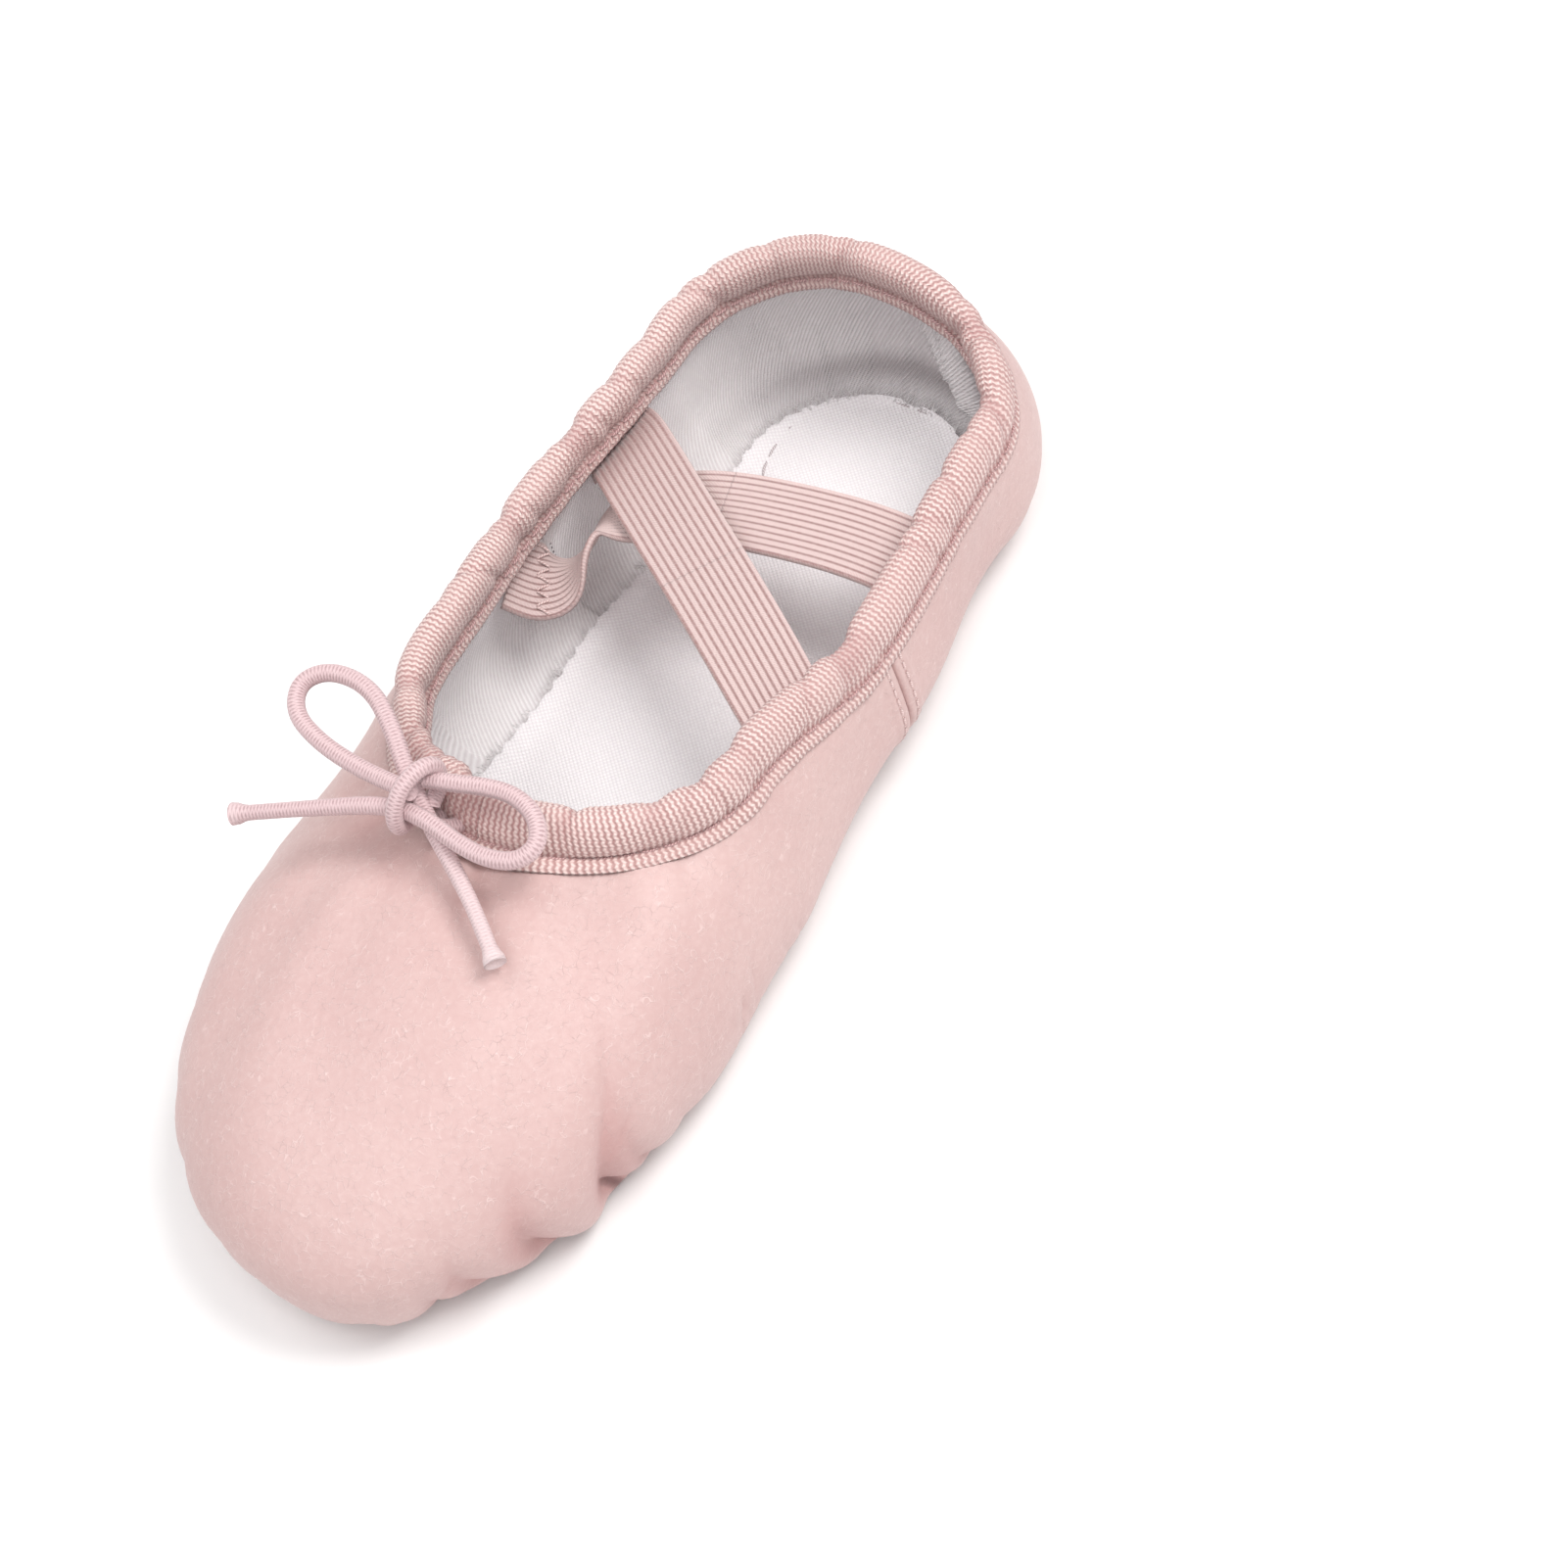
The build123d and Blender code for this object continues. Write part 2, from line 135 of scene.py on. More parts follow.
def reach(centre, angle):
    """Distance in plan from a fan centre to the outline, found by halving."""
    near = np.zeros_like(angle)
    far = np.full_like(angle, 120.0)
    for _ in range(36):
        middle = (near + far) / 2
        x = centre + middle * np.cos(angle)
        inside = (x > HEEL_X) & (x < TOE_X) & (middle * np.sin(angle) < half_width(x))
        near = np.where(inside, middle, near)
        far = np.where(inside, far, middle)
    return near


def egg(patch, angle, inset=0.0):
    """Edge of a sole patch, or of the opening in the leather over it."""
    centre, length_half, width_half = patch
    c = np.cos(angle)
    s = np.sin(angle)
    x = centre + (length_half - inset) * np.abs(c) ** (2 / PATCH_POWER) * np.sign(c)
    taper = 1 + PATCH_TAPER * c
    y = (width_half - inset) * taper * np.abs(s) ** (2 / PATCH_POWER) * np.sign(s)
    return x, y


class Columns:
    """Pattern lines of the wall. u runs from the toe's centre (0) over the left side to the
    heel's centre (3) and on along the right side; negative u is the right side too."""

    def __init__(self, u):
        self.u = np.asarray(u, float)
        turn = np.mod(self.u, 6.0)
        self.side = np.where(turn <= 3, 1.0, -1.0)
        self.w = np.where(turn <= 3, turn, 6 - turn)
        self.toe = self.w < 1
        self.heel = self.w >= 2
        self.t = t = self.w - self.by_zone(0, 1, 2)
        quarter = math.pi / 2
        self.centre = self.by_zone(FAN_X, FAN_X - SIDE_LENGTH * t, HEEL_FAN_X)
        self.angle = self.by_zone(quarter * t, quarter, quarter * (1 + t))
        front = (FAN_X - self.centre) / (FAN_X - WAIST_X)
        back = (WAIST_X - self.centre) / (WAIST_X - HEEL_FAN_X)
        throat = 1 / np.sqrt(
            (np.cos(self.angle) / RIM_THROAT) ** 2 + (np.sin(self.angle) / RIM_SIDE) ** 2
        )
        side_rim = ease(RIM_SIDE, RIM_WAIST, front) + ease(0, RIM_HEEL - RIM_WAIST, back)
        side_z = ease(RIM_Z_SIDE, RIM_Z_WAIST, front) + ease(0, RIM_Z_HEEL - RIM_Z_WAIST, back)
        toe_z, heel_z = ease(RIM_Z_THROAT, RIM_Z_SIDE, t), ease(RIM_Z_HEEL, RIM_Z_BACK, t)
        toe_wide, side_wide = ease(WIDE_Z_TOE, WIDE_Z_SIDE, t), ease(WIDE_Z_SIDE, WIDE_Z_HEEL, t)
        self.rim = self.by_zone(throat, side_rim, ease(RIM_HEEL, RIM_BACK, t))
        self.rim_z = self.by_zone(toe_z, side_z, heel_z)
        self.wide_z = self.by_zone(toe_wide, side_wide, WIDE_Z_HEEL)
        self.curl = np.radians(self.by_zone(ease(80, 50, t), 50.0, 50.0))
        self.lean = np.radians(ease(50, 78, np.degrees(self.angle) / 60))
        self.full = reach(self.centre, self.angle)
        self.top_r = self.rim + BINDING_SEAT * np.cos(self.lean)
        self.top_z = self.rim_z - BINDING_SEAT * np.sin(self.lean)
        self.inward = (self.full - self.top_r) / (1 - np.cos(self.curl))
        self.upward = (self.top_z - self.wide_z) / np.sin(self.curl)

    def by_zone(self, front, side, back):
        """One value for the toe's fan, one for the side between the fans, one for the heel's."""
        return np.where(self.toe, front, np.where(self.heel, back, side))

    def place(self, r, z):
        """Points at radius r and height z on each line. Both may have rows on a second axis."""
        extra = (slice(None),) + (None,) * (np.ndim(r) - 1)
        x = self.centre[extra] + r * np.cos(self.angle)[extra]
        y = self.side[extra] * r * np.sin(self.angle)[extra]
        return np.stack([x, y, z + 0 * r], -1)

    def sole_edge(self, inset):
        """Where each line ends over the sole: on a patch's opening, or at the arch's seam."""
        fx, fy = egg(FOREFOOT_PATCH, 2 * self.angle, inset)
        hx, hy = egg(HEEL_PATCH, 2 * self.angle - math.pi, inset)
        front = FOREFOOT_PATCH[0] - FOREFOOT_PATCH[1] + inset
        back = HEEL_PATCH[0] + HEEL_PATCH[1] - inset
        x = self.by_zone(fx, front + (back - front) * self.t, hx)
        return x, self.side * np.maximum(self.by_zone(fy, 0.0, hy), 0.08)

    def skin(self, rows):
        """Points of the leather's outer face. rows: -1 to 0 over the sole, 0 to 1 up to the
        widest line, 1 to 2 from there up to the binding."""
        v = rows[None, :]
        full = self.full[:, None]
        wide = self.wide_z[:, None]
        s = math.pi / 2 * (1 - np.clip(v, 0, 1))
        r = full - TURN_UNDER * (1 - np.cos(s))
        z = wide - (wide - SOLE_Z) * np.sin(s)
        s = self.curl[:, None] * np.clip(v - 1, 0, 1)
        r = np.where(v > 1, full - self.inward[:, None] * (1 - np.cos(s)), r)
        z = np.where(v > 1, wide + self.upward[:, None] * np.sin(s), z)
        points = self.place(r, z)
        ex, ey = self.sole_edge(PATCH_MARGIN)
        edge = np.stack([ex, ey, np.full_like(ex, SOLE_Z)], -1)[:, None, :]
        turn = self.place(self.full - TURN_UNDER, SOLE_Z + 0 * self.full)[:, None, :]
        share = np.clip(v + 1, 0, 1)[..., None]
        return np.where(v[..., None] < 0, edge + (turn - edge) * share, points)


def run_along(path):
    """Running length at each point of a path."""
    return np.concatenate([[0], np.cumsum(np.linalg.norm(np.diff(path, axis=0), axis=1))])


def from_toe(path):
    run = run_along(path)
    return run - np.interp(0.0, TABLE_U, run)


# running length of the outline, the rim and the sole's edge, from the toe's centre, against u
TABLE_U = np.linspace(-3, 6, 9001)
TABLE = Columns(TABLE_U)
OUTLINE_RUN = from_toe(TABLE.place(TABLE.full, 0 * TABLE.full))
RIM_RUN = from_toe(TABLE.place(TABLE.rim, TABLE.rim_z))
EDGE_RUN = from_toe(np.stack(TABLE.sole_edge(0.0), -1))
RIM_LENGTH = np.interp(6.0, TABLE_U, RIM_RUN)
HEEL_RUN = np.interp(3.0, TABLE_U, OUTLINE_RUN)


def runs(columns, table):
    """Running length of each line, from one of the tables."""
    return np.interp(columns.u, TABLE_U, table)[:, None]


def spaced(first, last, count, table=OUTLINE_RUN):
    """u values from first to last, evenly spaced along the outline or the rim."""
    ends = np.interp([first, last], TABLE_U, table)
    return np.interp(np.linspace(*ends, count), table, TABLE_U)


def normals(points):
    """Unit normals of a grid of points, away from the shoe's inside."""
    n = np.cross(np.gradient(points, axis=0), np.gradient(points, axis=1))
    n /= np.maximum(np.linalg.norm(n, axis=2, keepdims=True), 1e-9)
    x = points[..., 0]
    inside = np.stack([np.clip(x, HEEL_FAN_X, 40), 0 * x, 0 * x + 14], -1)
    n *= 1 if (n * (points - inside)).sum(2).mean() > 0 else -1
    n[points[..., 2] < SOLE_Z + 0.001] = (0.0, 0.0, -1.0)
    return n


class Wall:
    """The smooth skin on some pattern lines, with the measures that its folds are placed by."""

    def __init__(self, columns, rows):
        self.columns = columns
        self.base = columns.skin(rows)
        self.out = normals(self.base)
        self.height = self.base[..., 2]
        step = np.linalg.norm(np.diff(self.base, axis=1), axis=2)
        self.run_up = np.concatenate([np.zeros((len(step), 1)), np.cumsum(step, 1)], 1)
        self.past_patch = self.run_up - PATCH_MARGIN
        self.top_gap = self.run_up[:, -1:] - self.run_up
        self.past_seam = (columns.w[:, None] - SEAM_U) * SIDE_LENGTH

    def moved(self, distance):
        """The skin moved outward."""
        return self.base + self.out * distance[..., None]


# ---- folds of the leather ----
# run along the sole's edge, depth, half width, reach up the wall; a slant is added to each
LEFT_PLEATS = (
    (3.2, 3.2, 0.9, 12.0), (8.8, 3.8, 1.0, 13.0), (14.6, 5.0, 1.15, 18.0), (20.2, 5.8, 1.2, 20.0),
    (25.4, 7.0, 1.25, 21.0), (31.0, 7.2, 1.3, 21.0), (37.6, 3.4, 2.0, 20.0), (44.5, 1.4, 3.0, 16.0),
)
RIGHT_PLEATS_END = -60.0
HEEL_GATHER_PITCH = 8.6


def pleat_list():
    """Pleats round the forefoot patch and softer gathers at the heel."""
    pleats = [(*pleat, rng.uniform(-0.10, 0.10)) for pleat in LEFT_PLEATS]
    run = -3.0
    while run > RIGHT_PLEATS_END:
        fade = smooth((run - RIGHT_PLEATS_END + 4) / 16)
        depth = rng.uniform(3.4, 4.8) * fade
        pleats.append((run, depth, rng.uniform(0.75, 1.15), rng.uniform(12, 18),
                       rng.uniform(-0.10, 0.10)))
        run -= rng.uniform(4.9, 6.6)
    half = np.interp(3.0, TABLE_U, EDGE_RUN)
    for k in range(-5, 6):
        run = half + HEEL_GATHER_PITCH * k + rng.uniform(-1.4, 1.4)
        pleats.append((run, rng.uniform(0.9, 1.6), rng.uniform(1.2, 1.9), rng.uniform(9, 14),
                       rng.uniform(-0.12, 0.12)))
    return pleats


PLEATS = pleat_list()
# run along the edge, height up the wall, depth, half width, half length, slant
FINE_CREASES = [
    (rng.uniform(-85, 85), rng.uniform(5, 26), rng.uniform(0.10, 0.32), rng.uniform(0.35, 0.7),
     rng.uniform(2.5, 6.0), rng.uniform(-0.6, 0.6))
    for _ in range(90)
]
# turns per millimetre along and up the wall, phase, height
WAVES = [
    (rng.uniform(0.05, 0.16), rng.uniform(-0.16, 0.16), rng.uniform(0, CIRCLE),
     rng.uniform(0.10, 0.22))
    for _ in range(9)
]
# gathers below the binding: run along the rim, depth, half width
RIPPLES = [(rng.uniform(-215, 460), rng.uniform(0.15, 0.5), rng.uniform(1.6, 3.4))
           for _ in range(95)]
KNOT_CREASES = (-9.5, -5.0, -1.0, 4.0, 8.5)
KNOT_HOLLOW = 1.5
PLEAT_NEAR = 16.0        # a pleat isn't worked out where no point is nearer to it
PLEAT_SPREAD = 28.0      # height in which a pleat grows to twice its width
PLEATS_END_LEFT = 46.0   # run along the sole's edge where the puffs have faded out
PLEATS_END_RIGHT = 62.0
HEEL_PUFFS_FROM = 140.0
VALLEY_LIMIT = 0.9       # how deep a valley may be over the sole, where the insole is near
VALLEY_DEEPER = 5.0      # and how much deeper up the wall


def folds(wall):
    """Displacement of the leather from its smooth shape: outward is positive. Over the sole the
    valleys stop below the insole."""
    edge = runs(wall.columns, EDGE_RUN)
    s = wall.past_patch
    above = np.maximum(s, 0)
    start = smooth((s + 2.0) / 4.5)
    puff = np.zeros_like(s)
    for run, depth, width, length, slant in PLEATS:
        d = edge - run - slant * above
        if np.abs(d).min() >= PLEAT_NEAR:
            continue
        fade = start * bell(np.maximum(s - 3, 0), length)
        wide = width * (1 + above / PLEAT_SPREAD)
        puff -= depth * fade * np.exp(-(np.sqrt(d * d + 0.09) - 0.3) / wide)
    reach_back = np.where(edge > 0, PLEATS_END_LEFT, PLEATS_END_RIGHT)
    pleated = smooth((reach_back - np.abs(edge)) / 16)
    pleated += 0.35 * smooth((np.abs(edge) - HEEL_PUFFS_FROM) / 20)
    puff += ease(1.35, 2.3, edge / 14) * pleated * start * bell(np.maximum(s - 3, 0), 17)
    for run, middle, depth, width, length, slant in FINE_CREASES:
        d = edge - run - slant * (s - middle)
        puff -= depth * np.exp(-np.abs(d) / width) * bell(s - middle, length)
    outline = runs(wall.columns, OUTLINE_RUN)
    calm = smooth((s - 4) / 14) * smooth(wall.top_gap / 9)
    for a, b, phase, size in WAVES:
        puff += calm * size * np.sin(a * outline + b * s + phase)
    rim = runs(wall.columns, RIM_RUN)
    gather = bell(wall.top_gap - 2.0, 6.0)
    for run, depth, width in RIPPLES:
        puff -= gather * depth * 0.7 * bell(rim - run, width)
    from_knot = rim - KNOT_RUN
    puff -= KNOT_HOLLOW * bell(from_knot, 8.0) * bell(wall.top_gap - 8.0, 6.0)
    for offset in KNOT_CREASES:
        d = from_knot - offset - 0.12 * offset * wall.top_gap / 6
        puff -= 0.45 * bell(d, 1.1) * bell(wall.top_gap - 2.0, 9.0)
    puff += 0.45 * gather
    limit = VALLEY_LIMIT + VALLEY_DEEPER * smooth((wall.height - 1.6) / 2.5)
    return np.where(puff < 0, -limit * np.tanh(-puff / limit), puff)


def pleat_shade(wall):
    """Painted shade, 0 to 1, along the bottom of each pleat, strongest beside the patch."""
    edge = runs(wall.columns, EDGE_RUN)
    s = wall.past_patch
    dark = np.zeros_like(s)
    for run, depth, _, length, slant in PLEATS:
        d = edge - run - slant * np.maximum(s, 0)
        fade = smooth((s + 1.5) / 2) * bell(np.maximum(s - 2, 0), 0.8 * length)
        dark = np.maximum(dark, min(depth / 3.4, 1.0) * fade * bell(d, 0.25 + 0.15 * depth))
    return dark


def arch(points):
    """The sole between the patches lifts off the floor."""
    high = 1 - smooth(points[..., 2] / ARCH_FADE_Z)
    moved = points.copy()
    moved[..., 2] += ARCH_LIFT * bell(points[..., 0] - ARCH_X, ARCH_LENGTH) * high
    return moved


# ---- meshes ----
def add(name, data):
    """An object in the scene that holds some data."""
    obj = bpy.data.objects.new(name, data)
    bpy.context.scene.collection.objects.link(obj)
    return obj


def quads(nu, nv, wrap_u=False, wrap_v=False, start=0):
    """Faces of a grid of points stored row by row."""
    i = np.arange(nu if wrap_u else nu - 1)[:, None]
    j = np.arange(nv if wrap_v else nv - 1)[None, :]
    i2 = (i + 1) % nu
    j2 = (j + 1) % nv
    return np.stack([i * nv + j, i2 * nv + j, i2 * nv + j2, i * nv + j2], -1).reshape(-1, 4) + start


def drum_faces(nu, nv):
    """Faces of a grid that is a ring along u, with strips from side to side over both ends."""
    faces = quads(nu, nv, True).tolist()
    half = nu // 2
    for row in (0, nv - 1):
        at = [k * nv + row for k in range(nu)]
        strips = [[at[0], at[1], at[-1]]]
        strips += [[at[k], at[k + 1], at[-k - 1], at[-k]] for k in range(1, half - 1)]
        strips.append([at[half - 1], at[half], at[-half + 1]])
        faces += [f[::-1] for f in strips] if row == 0 else strips
    return faces


def make(name, points, faces, cloth=None, **marks):
    """A smooth mesh object from points in millimetres. cloth is the weave's vector, also in
    millimetres; marks are values that the materials read."""
    points = np.asarray(points, float).reshape(-1, 3)
    faces = [list(f) for f in faces]
    volume = 0.0
    for size in set(len(f) for f in faces):
        same = np.array([f for f in faces if len(f) == size])
        for k in range(1, size - 1):
            a, b, c = points[same[:, 0]], points[same[:, k]], points[same[:, k + 1]]
            volume += (a * np.cross(b, c)).sum()
    if volume < 0:
        faces = [f[::-1] for f in faces]
    mesh = bpy.data.meshes.new(name)
    mesh.from_pydata((points * MM).tolist(), [], faces)
    mesh.shade_smooth()

    def write(label, kind, field, values):
        layer = mesh.attributes.new(label, kind, "POINT")
        layer.data.foreach_set(field, np.asarray(values, np.float32).ravel())

    write("rest", "FLOAT_VECTOR", "vector", points)
    if cloth is not None:
        write("cloth", "FLOAT_VECTOR", "vector", cloth)
    for mark, values in marks.items():
        write(mark, "FLOAT", "value", values)
    return add(name, mesh)


def shell_faces(nu, nv, step):
    """Faces of a closed skin: a fine grid, a coarser one, and strips between their edges."""
    cu, cv = (nu - 1) // step + 1, (nv - 1) // step + 1
    base = nu * nv
    faces = quads(nu, nv).tolist()
    faces += quads(cu, cv, start=base)[:, ::-1].tolist()

    def fine(i, j):
        return i * nv + j

    def coarse(i, j):
        return base + i * cv + j

    for j, cj, flip in ((0, 0, False), (nv - 1, cv - 1, True)):
        for i in range(cu - 1):
            strip = [fine(i * step + k, j) for k in range(step + 1)]
            strip += [coarse(i + 1, cj), coarse(i, cj)]
            faces.append(strip if flip else strip[::-1])
    for i, ci, flip in ((0, 0, True), (nu - 1, cu - 1, False)):
        for j in range(cv - 1):
            strip = [fine(i, j * step + k) for k in range(step + 1)]
            strip += [coarse(ci, j + 1), coarse(ci, j)]
            faces.append(strip if flip else strip[::-1])
    return faces


def shell(name, face, back, step, cloth=None, **marks):
    """A closed skin, lifted over the arch: a face in full, and a back of every step-th point."""
    def joined(fine, coarse):
        size = fine.shape[2:]
        return np.concatenate([fine.reshape(-1, *size), coarse[::step, ::step].reshape(-1, *size)])

    cloth = None if cloth is None else joined(cloth, cloth)
    marks = {mark: joined(values, 0 * values) for mark, values in marks.items()}
    points = joined(arch(face), arch(back))
    return make(name, points, shell_faces(*face.shape[:2], step), cloth, **marks)


def frames(path, closed=False):
    """Two side directions along a path, without twist."""
    tangent = np.roll(path, -1, 0) - np.roll(path, 1, 0) if closed else np.gradient(path, axis=0)
    tangent /= np.linalg.norm(tangent, axis=1, keepdims=True)
    side = np.cross(tangent[0], (0.0, 0.0, 1.0))
    if np.linalg.norm(side) < 1e-3:
        side = np.cross(tangent[0], (0.0, 1.0, 0.0))
    sides = []
    for t in tangent:
        side = side - t * (side @ t)
        side /= np.linalg.norm(side)
        sides.append(side.copy())
    sides = np.array(sides)
    return sides, np.cross(tangent, sides)


def tube(path, radius, sides, closed=False, start=0):
    """Points, faces and weave vectors of a round tube."""
    path = np.asarray(path, float)
    count = len(path)
    a, b = frames(path, closed)
    turn = np.linspace(0, CIRCLE, sides, endpoint=False)
    ring = a[:, None] * np.cos(turn)[None, :, None] + b[:, None] * np.sin(turn)[None, :, None]
    radius = np.broadcast_to(np.asarray(radius, float), (count,))
    points = path[:, None] + ring * radius[:, None, None]
    cloth = np.stack(np.broadcast_arrays(run_along(path)[:, None], turn[None] / CIRCLE, 0.0), -1)
    faces = quads(count, sides, closed, True, start).tolist()
    if not closed:
        faces.append([start + k for k in range(sides)][::-1])
        faces.append([start + (count - 1) * sides + k for k in range(sides)])
    return points.reshape(-1, 3), faces, cloth.reshape(-1, 3)


def tubes(paths, radius, sides):
    """Several tubes as one set of points, faces and weave vectors."""
    points, faces, cloth, total = [], [], [], 0
    for path in paths:
        p, f, c = tube(path, radius, sides, start=total)
        points.append(p)
        faces += f
        cloth.append(c)
        total += len(p)
    return np.concatenate(points), faces, np.concatenate(cloth)


# ---- materials ----
class Paint:
    """A material made of nodes, with short ways to add them."""

    def __init__(self, name, roughness, sheen=0.0, specular=0.5):
        self.material = bpy.data.materials.new(name)
        self.material.use_nodes = True
        self.tree = self.material.node_tree
        self.shader = self.tree.nodes["Principled BSDF"].inputs
        self.shader["Roughness"].default_value = roughness
        self.shader["Sheen Weight"].default_value = sheen
        self.shader["Sheen Roughness"].default_value = 0.4
        self.shader["Specular IOR Level"].default_value = specular

    def give(self, socket, value):
        if isinstance(value, bpy.types.NodeSocket):
            self.tree.links.new(value, socket)
        else:
            socket.default_value = value

    def node(self, kind, inputs=(), output=0, **settings):
        node = self.tree.nodes.new("ShaderNode" + kind)
        for key, value in settings.items():
            setattr(node, key, value)
        for key, value in dict(inputs).items():
            self.give(node.inputs[key], value)
        return node.outputs[output]

    def mark(self, name, output="Fac"):
        return self.node("Attribute", output=output, attribute_name=name)

    def rest(self):
        return self.mark("rest", "Vector")

    def cloth(self):
        """Running length, width and a third value of the weave's vector."""
        return self.node("SeparateXYZ", {0: self.mark("cloth", "Vector")}).node.outputs[:]

    def calc(self, operation, a, b=0.0, c=0.0):
        return self.node("Math", {0: a, 1: b, 2: c}, operation=operation)

    def tilted(self, a, b, slope):
        return self.calc("ADD", a, self.calc("MULTIPLY", b, slope))

    def vectors(self, operation, a, b):
        return self.node("VectorMath", {0: a, 1: b}, operation=operation)

    def noise(self, vector, scale, detail=3.0, roughness=0.55):
        inputs = {"Vector": vector, "Scale": scale, "Detail": detail, "Roughness": roughness}
        return self.node("TexNoise", inputs)

    def cells(self, vector, scale, feature):
        inputs = {"Vector": vector, "Scale": scale, "Randomness": 1.0}
        return self.node("TexVoronoi", inputs, feature=feature)

    def range(self, value, low, high, to_low=0.0, to_high=1.0):
        inputs = {"Value": value, "From Min": low, "From Max": high,
                  "To Min": to_low, "To Max": to_high}
        return self.node("MapRange", inputs)

    def mix(self, share, a, b):
        a, b = ((*colour, 1.0) if isinstance(colour, tuple) else colour for colour in (a, b))
        return self.node("Mix", {0: share, 6: a, 7: b}, 2, data_type="RGBA")

    def layers(self, base, *layers):
        """Colours laid over a base. Each layer is a value, the range of it that counts, the
        layer's share at both ends of that range, and its colour."""
        for value, low, high, to_low, to_high, colour in layers:
            base = self.mix(self.range(value, low, high, to_low, to_high), base, colour)
        return base

    def wave(self, value, period):
        """0 to 1 ridges with the given period."""
        turned = self.calc("MULTIPLY", value, CIRCLE / period)
        return self.calc("MULTIPLY_ADD", self.calc("SINE", turned), 0.5, 0.5)

    def done(self, colour, *bumps):
        """The material with its colour and its bumps, each a height and its depth in metres."""
        self.give(self.shader["Base Color"], colour)
        normal = None
        for height, depth in bumps:
            inputs = {"Height": height, "Distance": depth, "Strength": 1.0}
            if normal is not None:
                inputs["Normal"] = normal
            normal = self.node("Bump", inputs)
        if normal is not None:
            self.give(self.shader["Normal"], normal)
        return self.material


def leather_paint():
    p = Paint("soft_pink_leather", 0.5, sheen=0.08, specular=0.42)
    rest = p.rest()
    drift = p.node("TexNoise", {"Vector": rest, "Scale": 0.35}, output=1)
    bent = p.vectors("ADD", rest, p.vectors("MULTIPLY", drift, (1.6, 1.6, 1.6)))
    pebble = p.cells(bent, 1.15, "SMOOTH_F1")
    fine = p.noise(rest, 2.6, 4)
    crease = p.range(p.cells(bent, 0.95, "DISTANCE_TO_EDGE"), 0.0, 0.05)
    patchy = p.range(p.noise(rest, 0.55, 2), 0.36, 0.60)
    creased = p.calc("MAXIMUM", crease, patchy)
    dapple = p.range(p.noise(rest, 0.045, 3), 0.35, 0.65)
    # painted shade: the valley mark darkens the folds' valleys, the pleats' bottoms and the seams'
    # grooves
    valley = p.mark("valley")
    colour = p.layers(
        p.mix(dapple, (0.560, 0.380, 0.364), (0.602, 0.425, 0.406)),
        (p.noise(rest, 0.9, 2), 0.3, 0.75, 0.0, 0.35, (0.632, 0.458, 0.440)),
        (creased, 0.0, 1.0, 0.70, 0.0, (0.76, 0.60, 0.58)),
        (pebble, 0.1, 0.6, 0.0, 0.24, (0.50, 0.31, 0.297)),
        # painted shade in the folds, nearly black at the pleats' bottoms beside the patch
        (valley, 0.0, 0.6, 0.0, 0.62, (0.47, 0.235, 0.225)),
        (valley, 0.62, 1.0, 0.0, 0.88, (0.10, 0.036, 0.036)),
    )
    p.give(p.shader["Roughness"], p.range(fine, 0.3, 0.7, 0.42, 0.56))
    return p.done(colour, (pebble, -0.00005), (creased, -0.00004), (fine, 0.00002))


def suede_paint():
    p = Paint("mauve_pink_suede", 0.95, sheen=0.45, specular=0.15)
    rest = p.rest()
    fuzz = p.noise(rest, 4.4, 5, 0.75)
    clump = p.noise(rest, 1.3, 5, 0.75)
    colour = p.layers(
        p.mix(p.range(clump, 0.34, 0.66), (0.56, 0.335, 0.345), (0.755, 0.50, 0.505)),
        (fuzz, 0.45, 0.68, 0.0, 0.75, (0.84, 0.61, 0.61)),
        (p.noise(rest, 0.12, 2), 0.35, 0.65, 0.0, 0.3, (0.62, 0.40, 0.43)),
    )
    # painted shade: near black in the needle holes, where the pit mark is
    colour = p.mix(p.mark("pit"), colour, (0.055, 0.022, 0.024))
    return p.done(colour, (clump, 0.00012), (fuzz, 0.00007))


def twill_paint():
    p = Paint("white_cotton_twill", 0.9, sheen=0.2, specular=0.2)
    x, y, _ = p.cloth()
    diagonal = p.wave(p.tilted(x, y, 0.55), 0.78)
    yarn = p.wave(p.tilted(y, x, -0.55), 0.42)
    slub = p.noise(p.rest(), 1.4, 4)
    colour = p.layers(
        p.mix(diagonal, (0.78, 0.73, 0.74), (0.93, 0.905, 0.91)),
        (yarn, 0, 1, 0.16, 0.0, (0.70, 0.64, 0.65)),
        (slub, 0.35, 0.75, 0.0, 0.25, (0.95, 0.94, 0.94)),
    )
    # painted shade between the lining's folds and behind the insole's edge at the heel
    colour = p.mix(p.mark("crease"), colour, (0.16, 0.12, 0.13))
    return p.done(colour, (diagonal, 0.00011), (yarn, 0.00004), (slub, 0.00003))


def canvas_paint():
    """Plain weave: yarns show where warp and weft are both high or both low."""
    p = Paint("off_white_canvas", 0.92, sheen=0.15, specular=0.2)
    x, y, _ = p.cloth()
    warp = p.wave(x, 0.74)
    weft = p.wave(y, 0.74)
    under = p.calc("MULTIPLY", p.calc("SUBTRACT", 1.0, warp), p.calc("SUBTRACT", 1.0, weft))
    weave = p.calc("MAXIMUM", p.calc("MULTIPLY", warp, weft), under)
    slub = p.noise(p.rest(), 1.2, 5, 0.65)
    colour = p.layers(
        p.mix(p.range(weave, 0.1, 0.8), (0.86, 0.82, 0.84), (0.985, 0.965, 0.975)),
        (slub, 0.4, 0.72, 0.0, 0.30, (0.90, 0.865, 0.885)),
    )
    return p.done(colour, (weave, 0.00012), (slub, 0.00004))


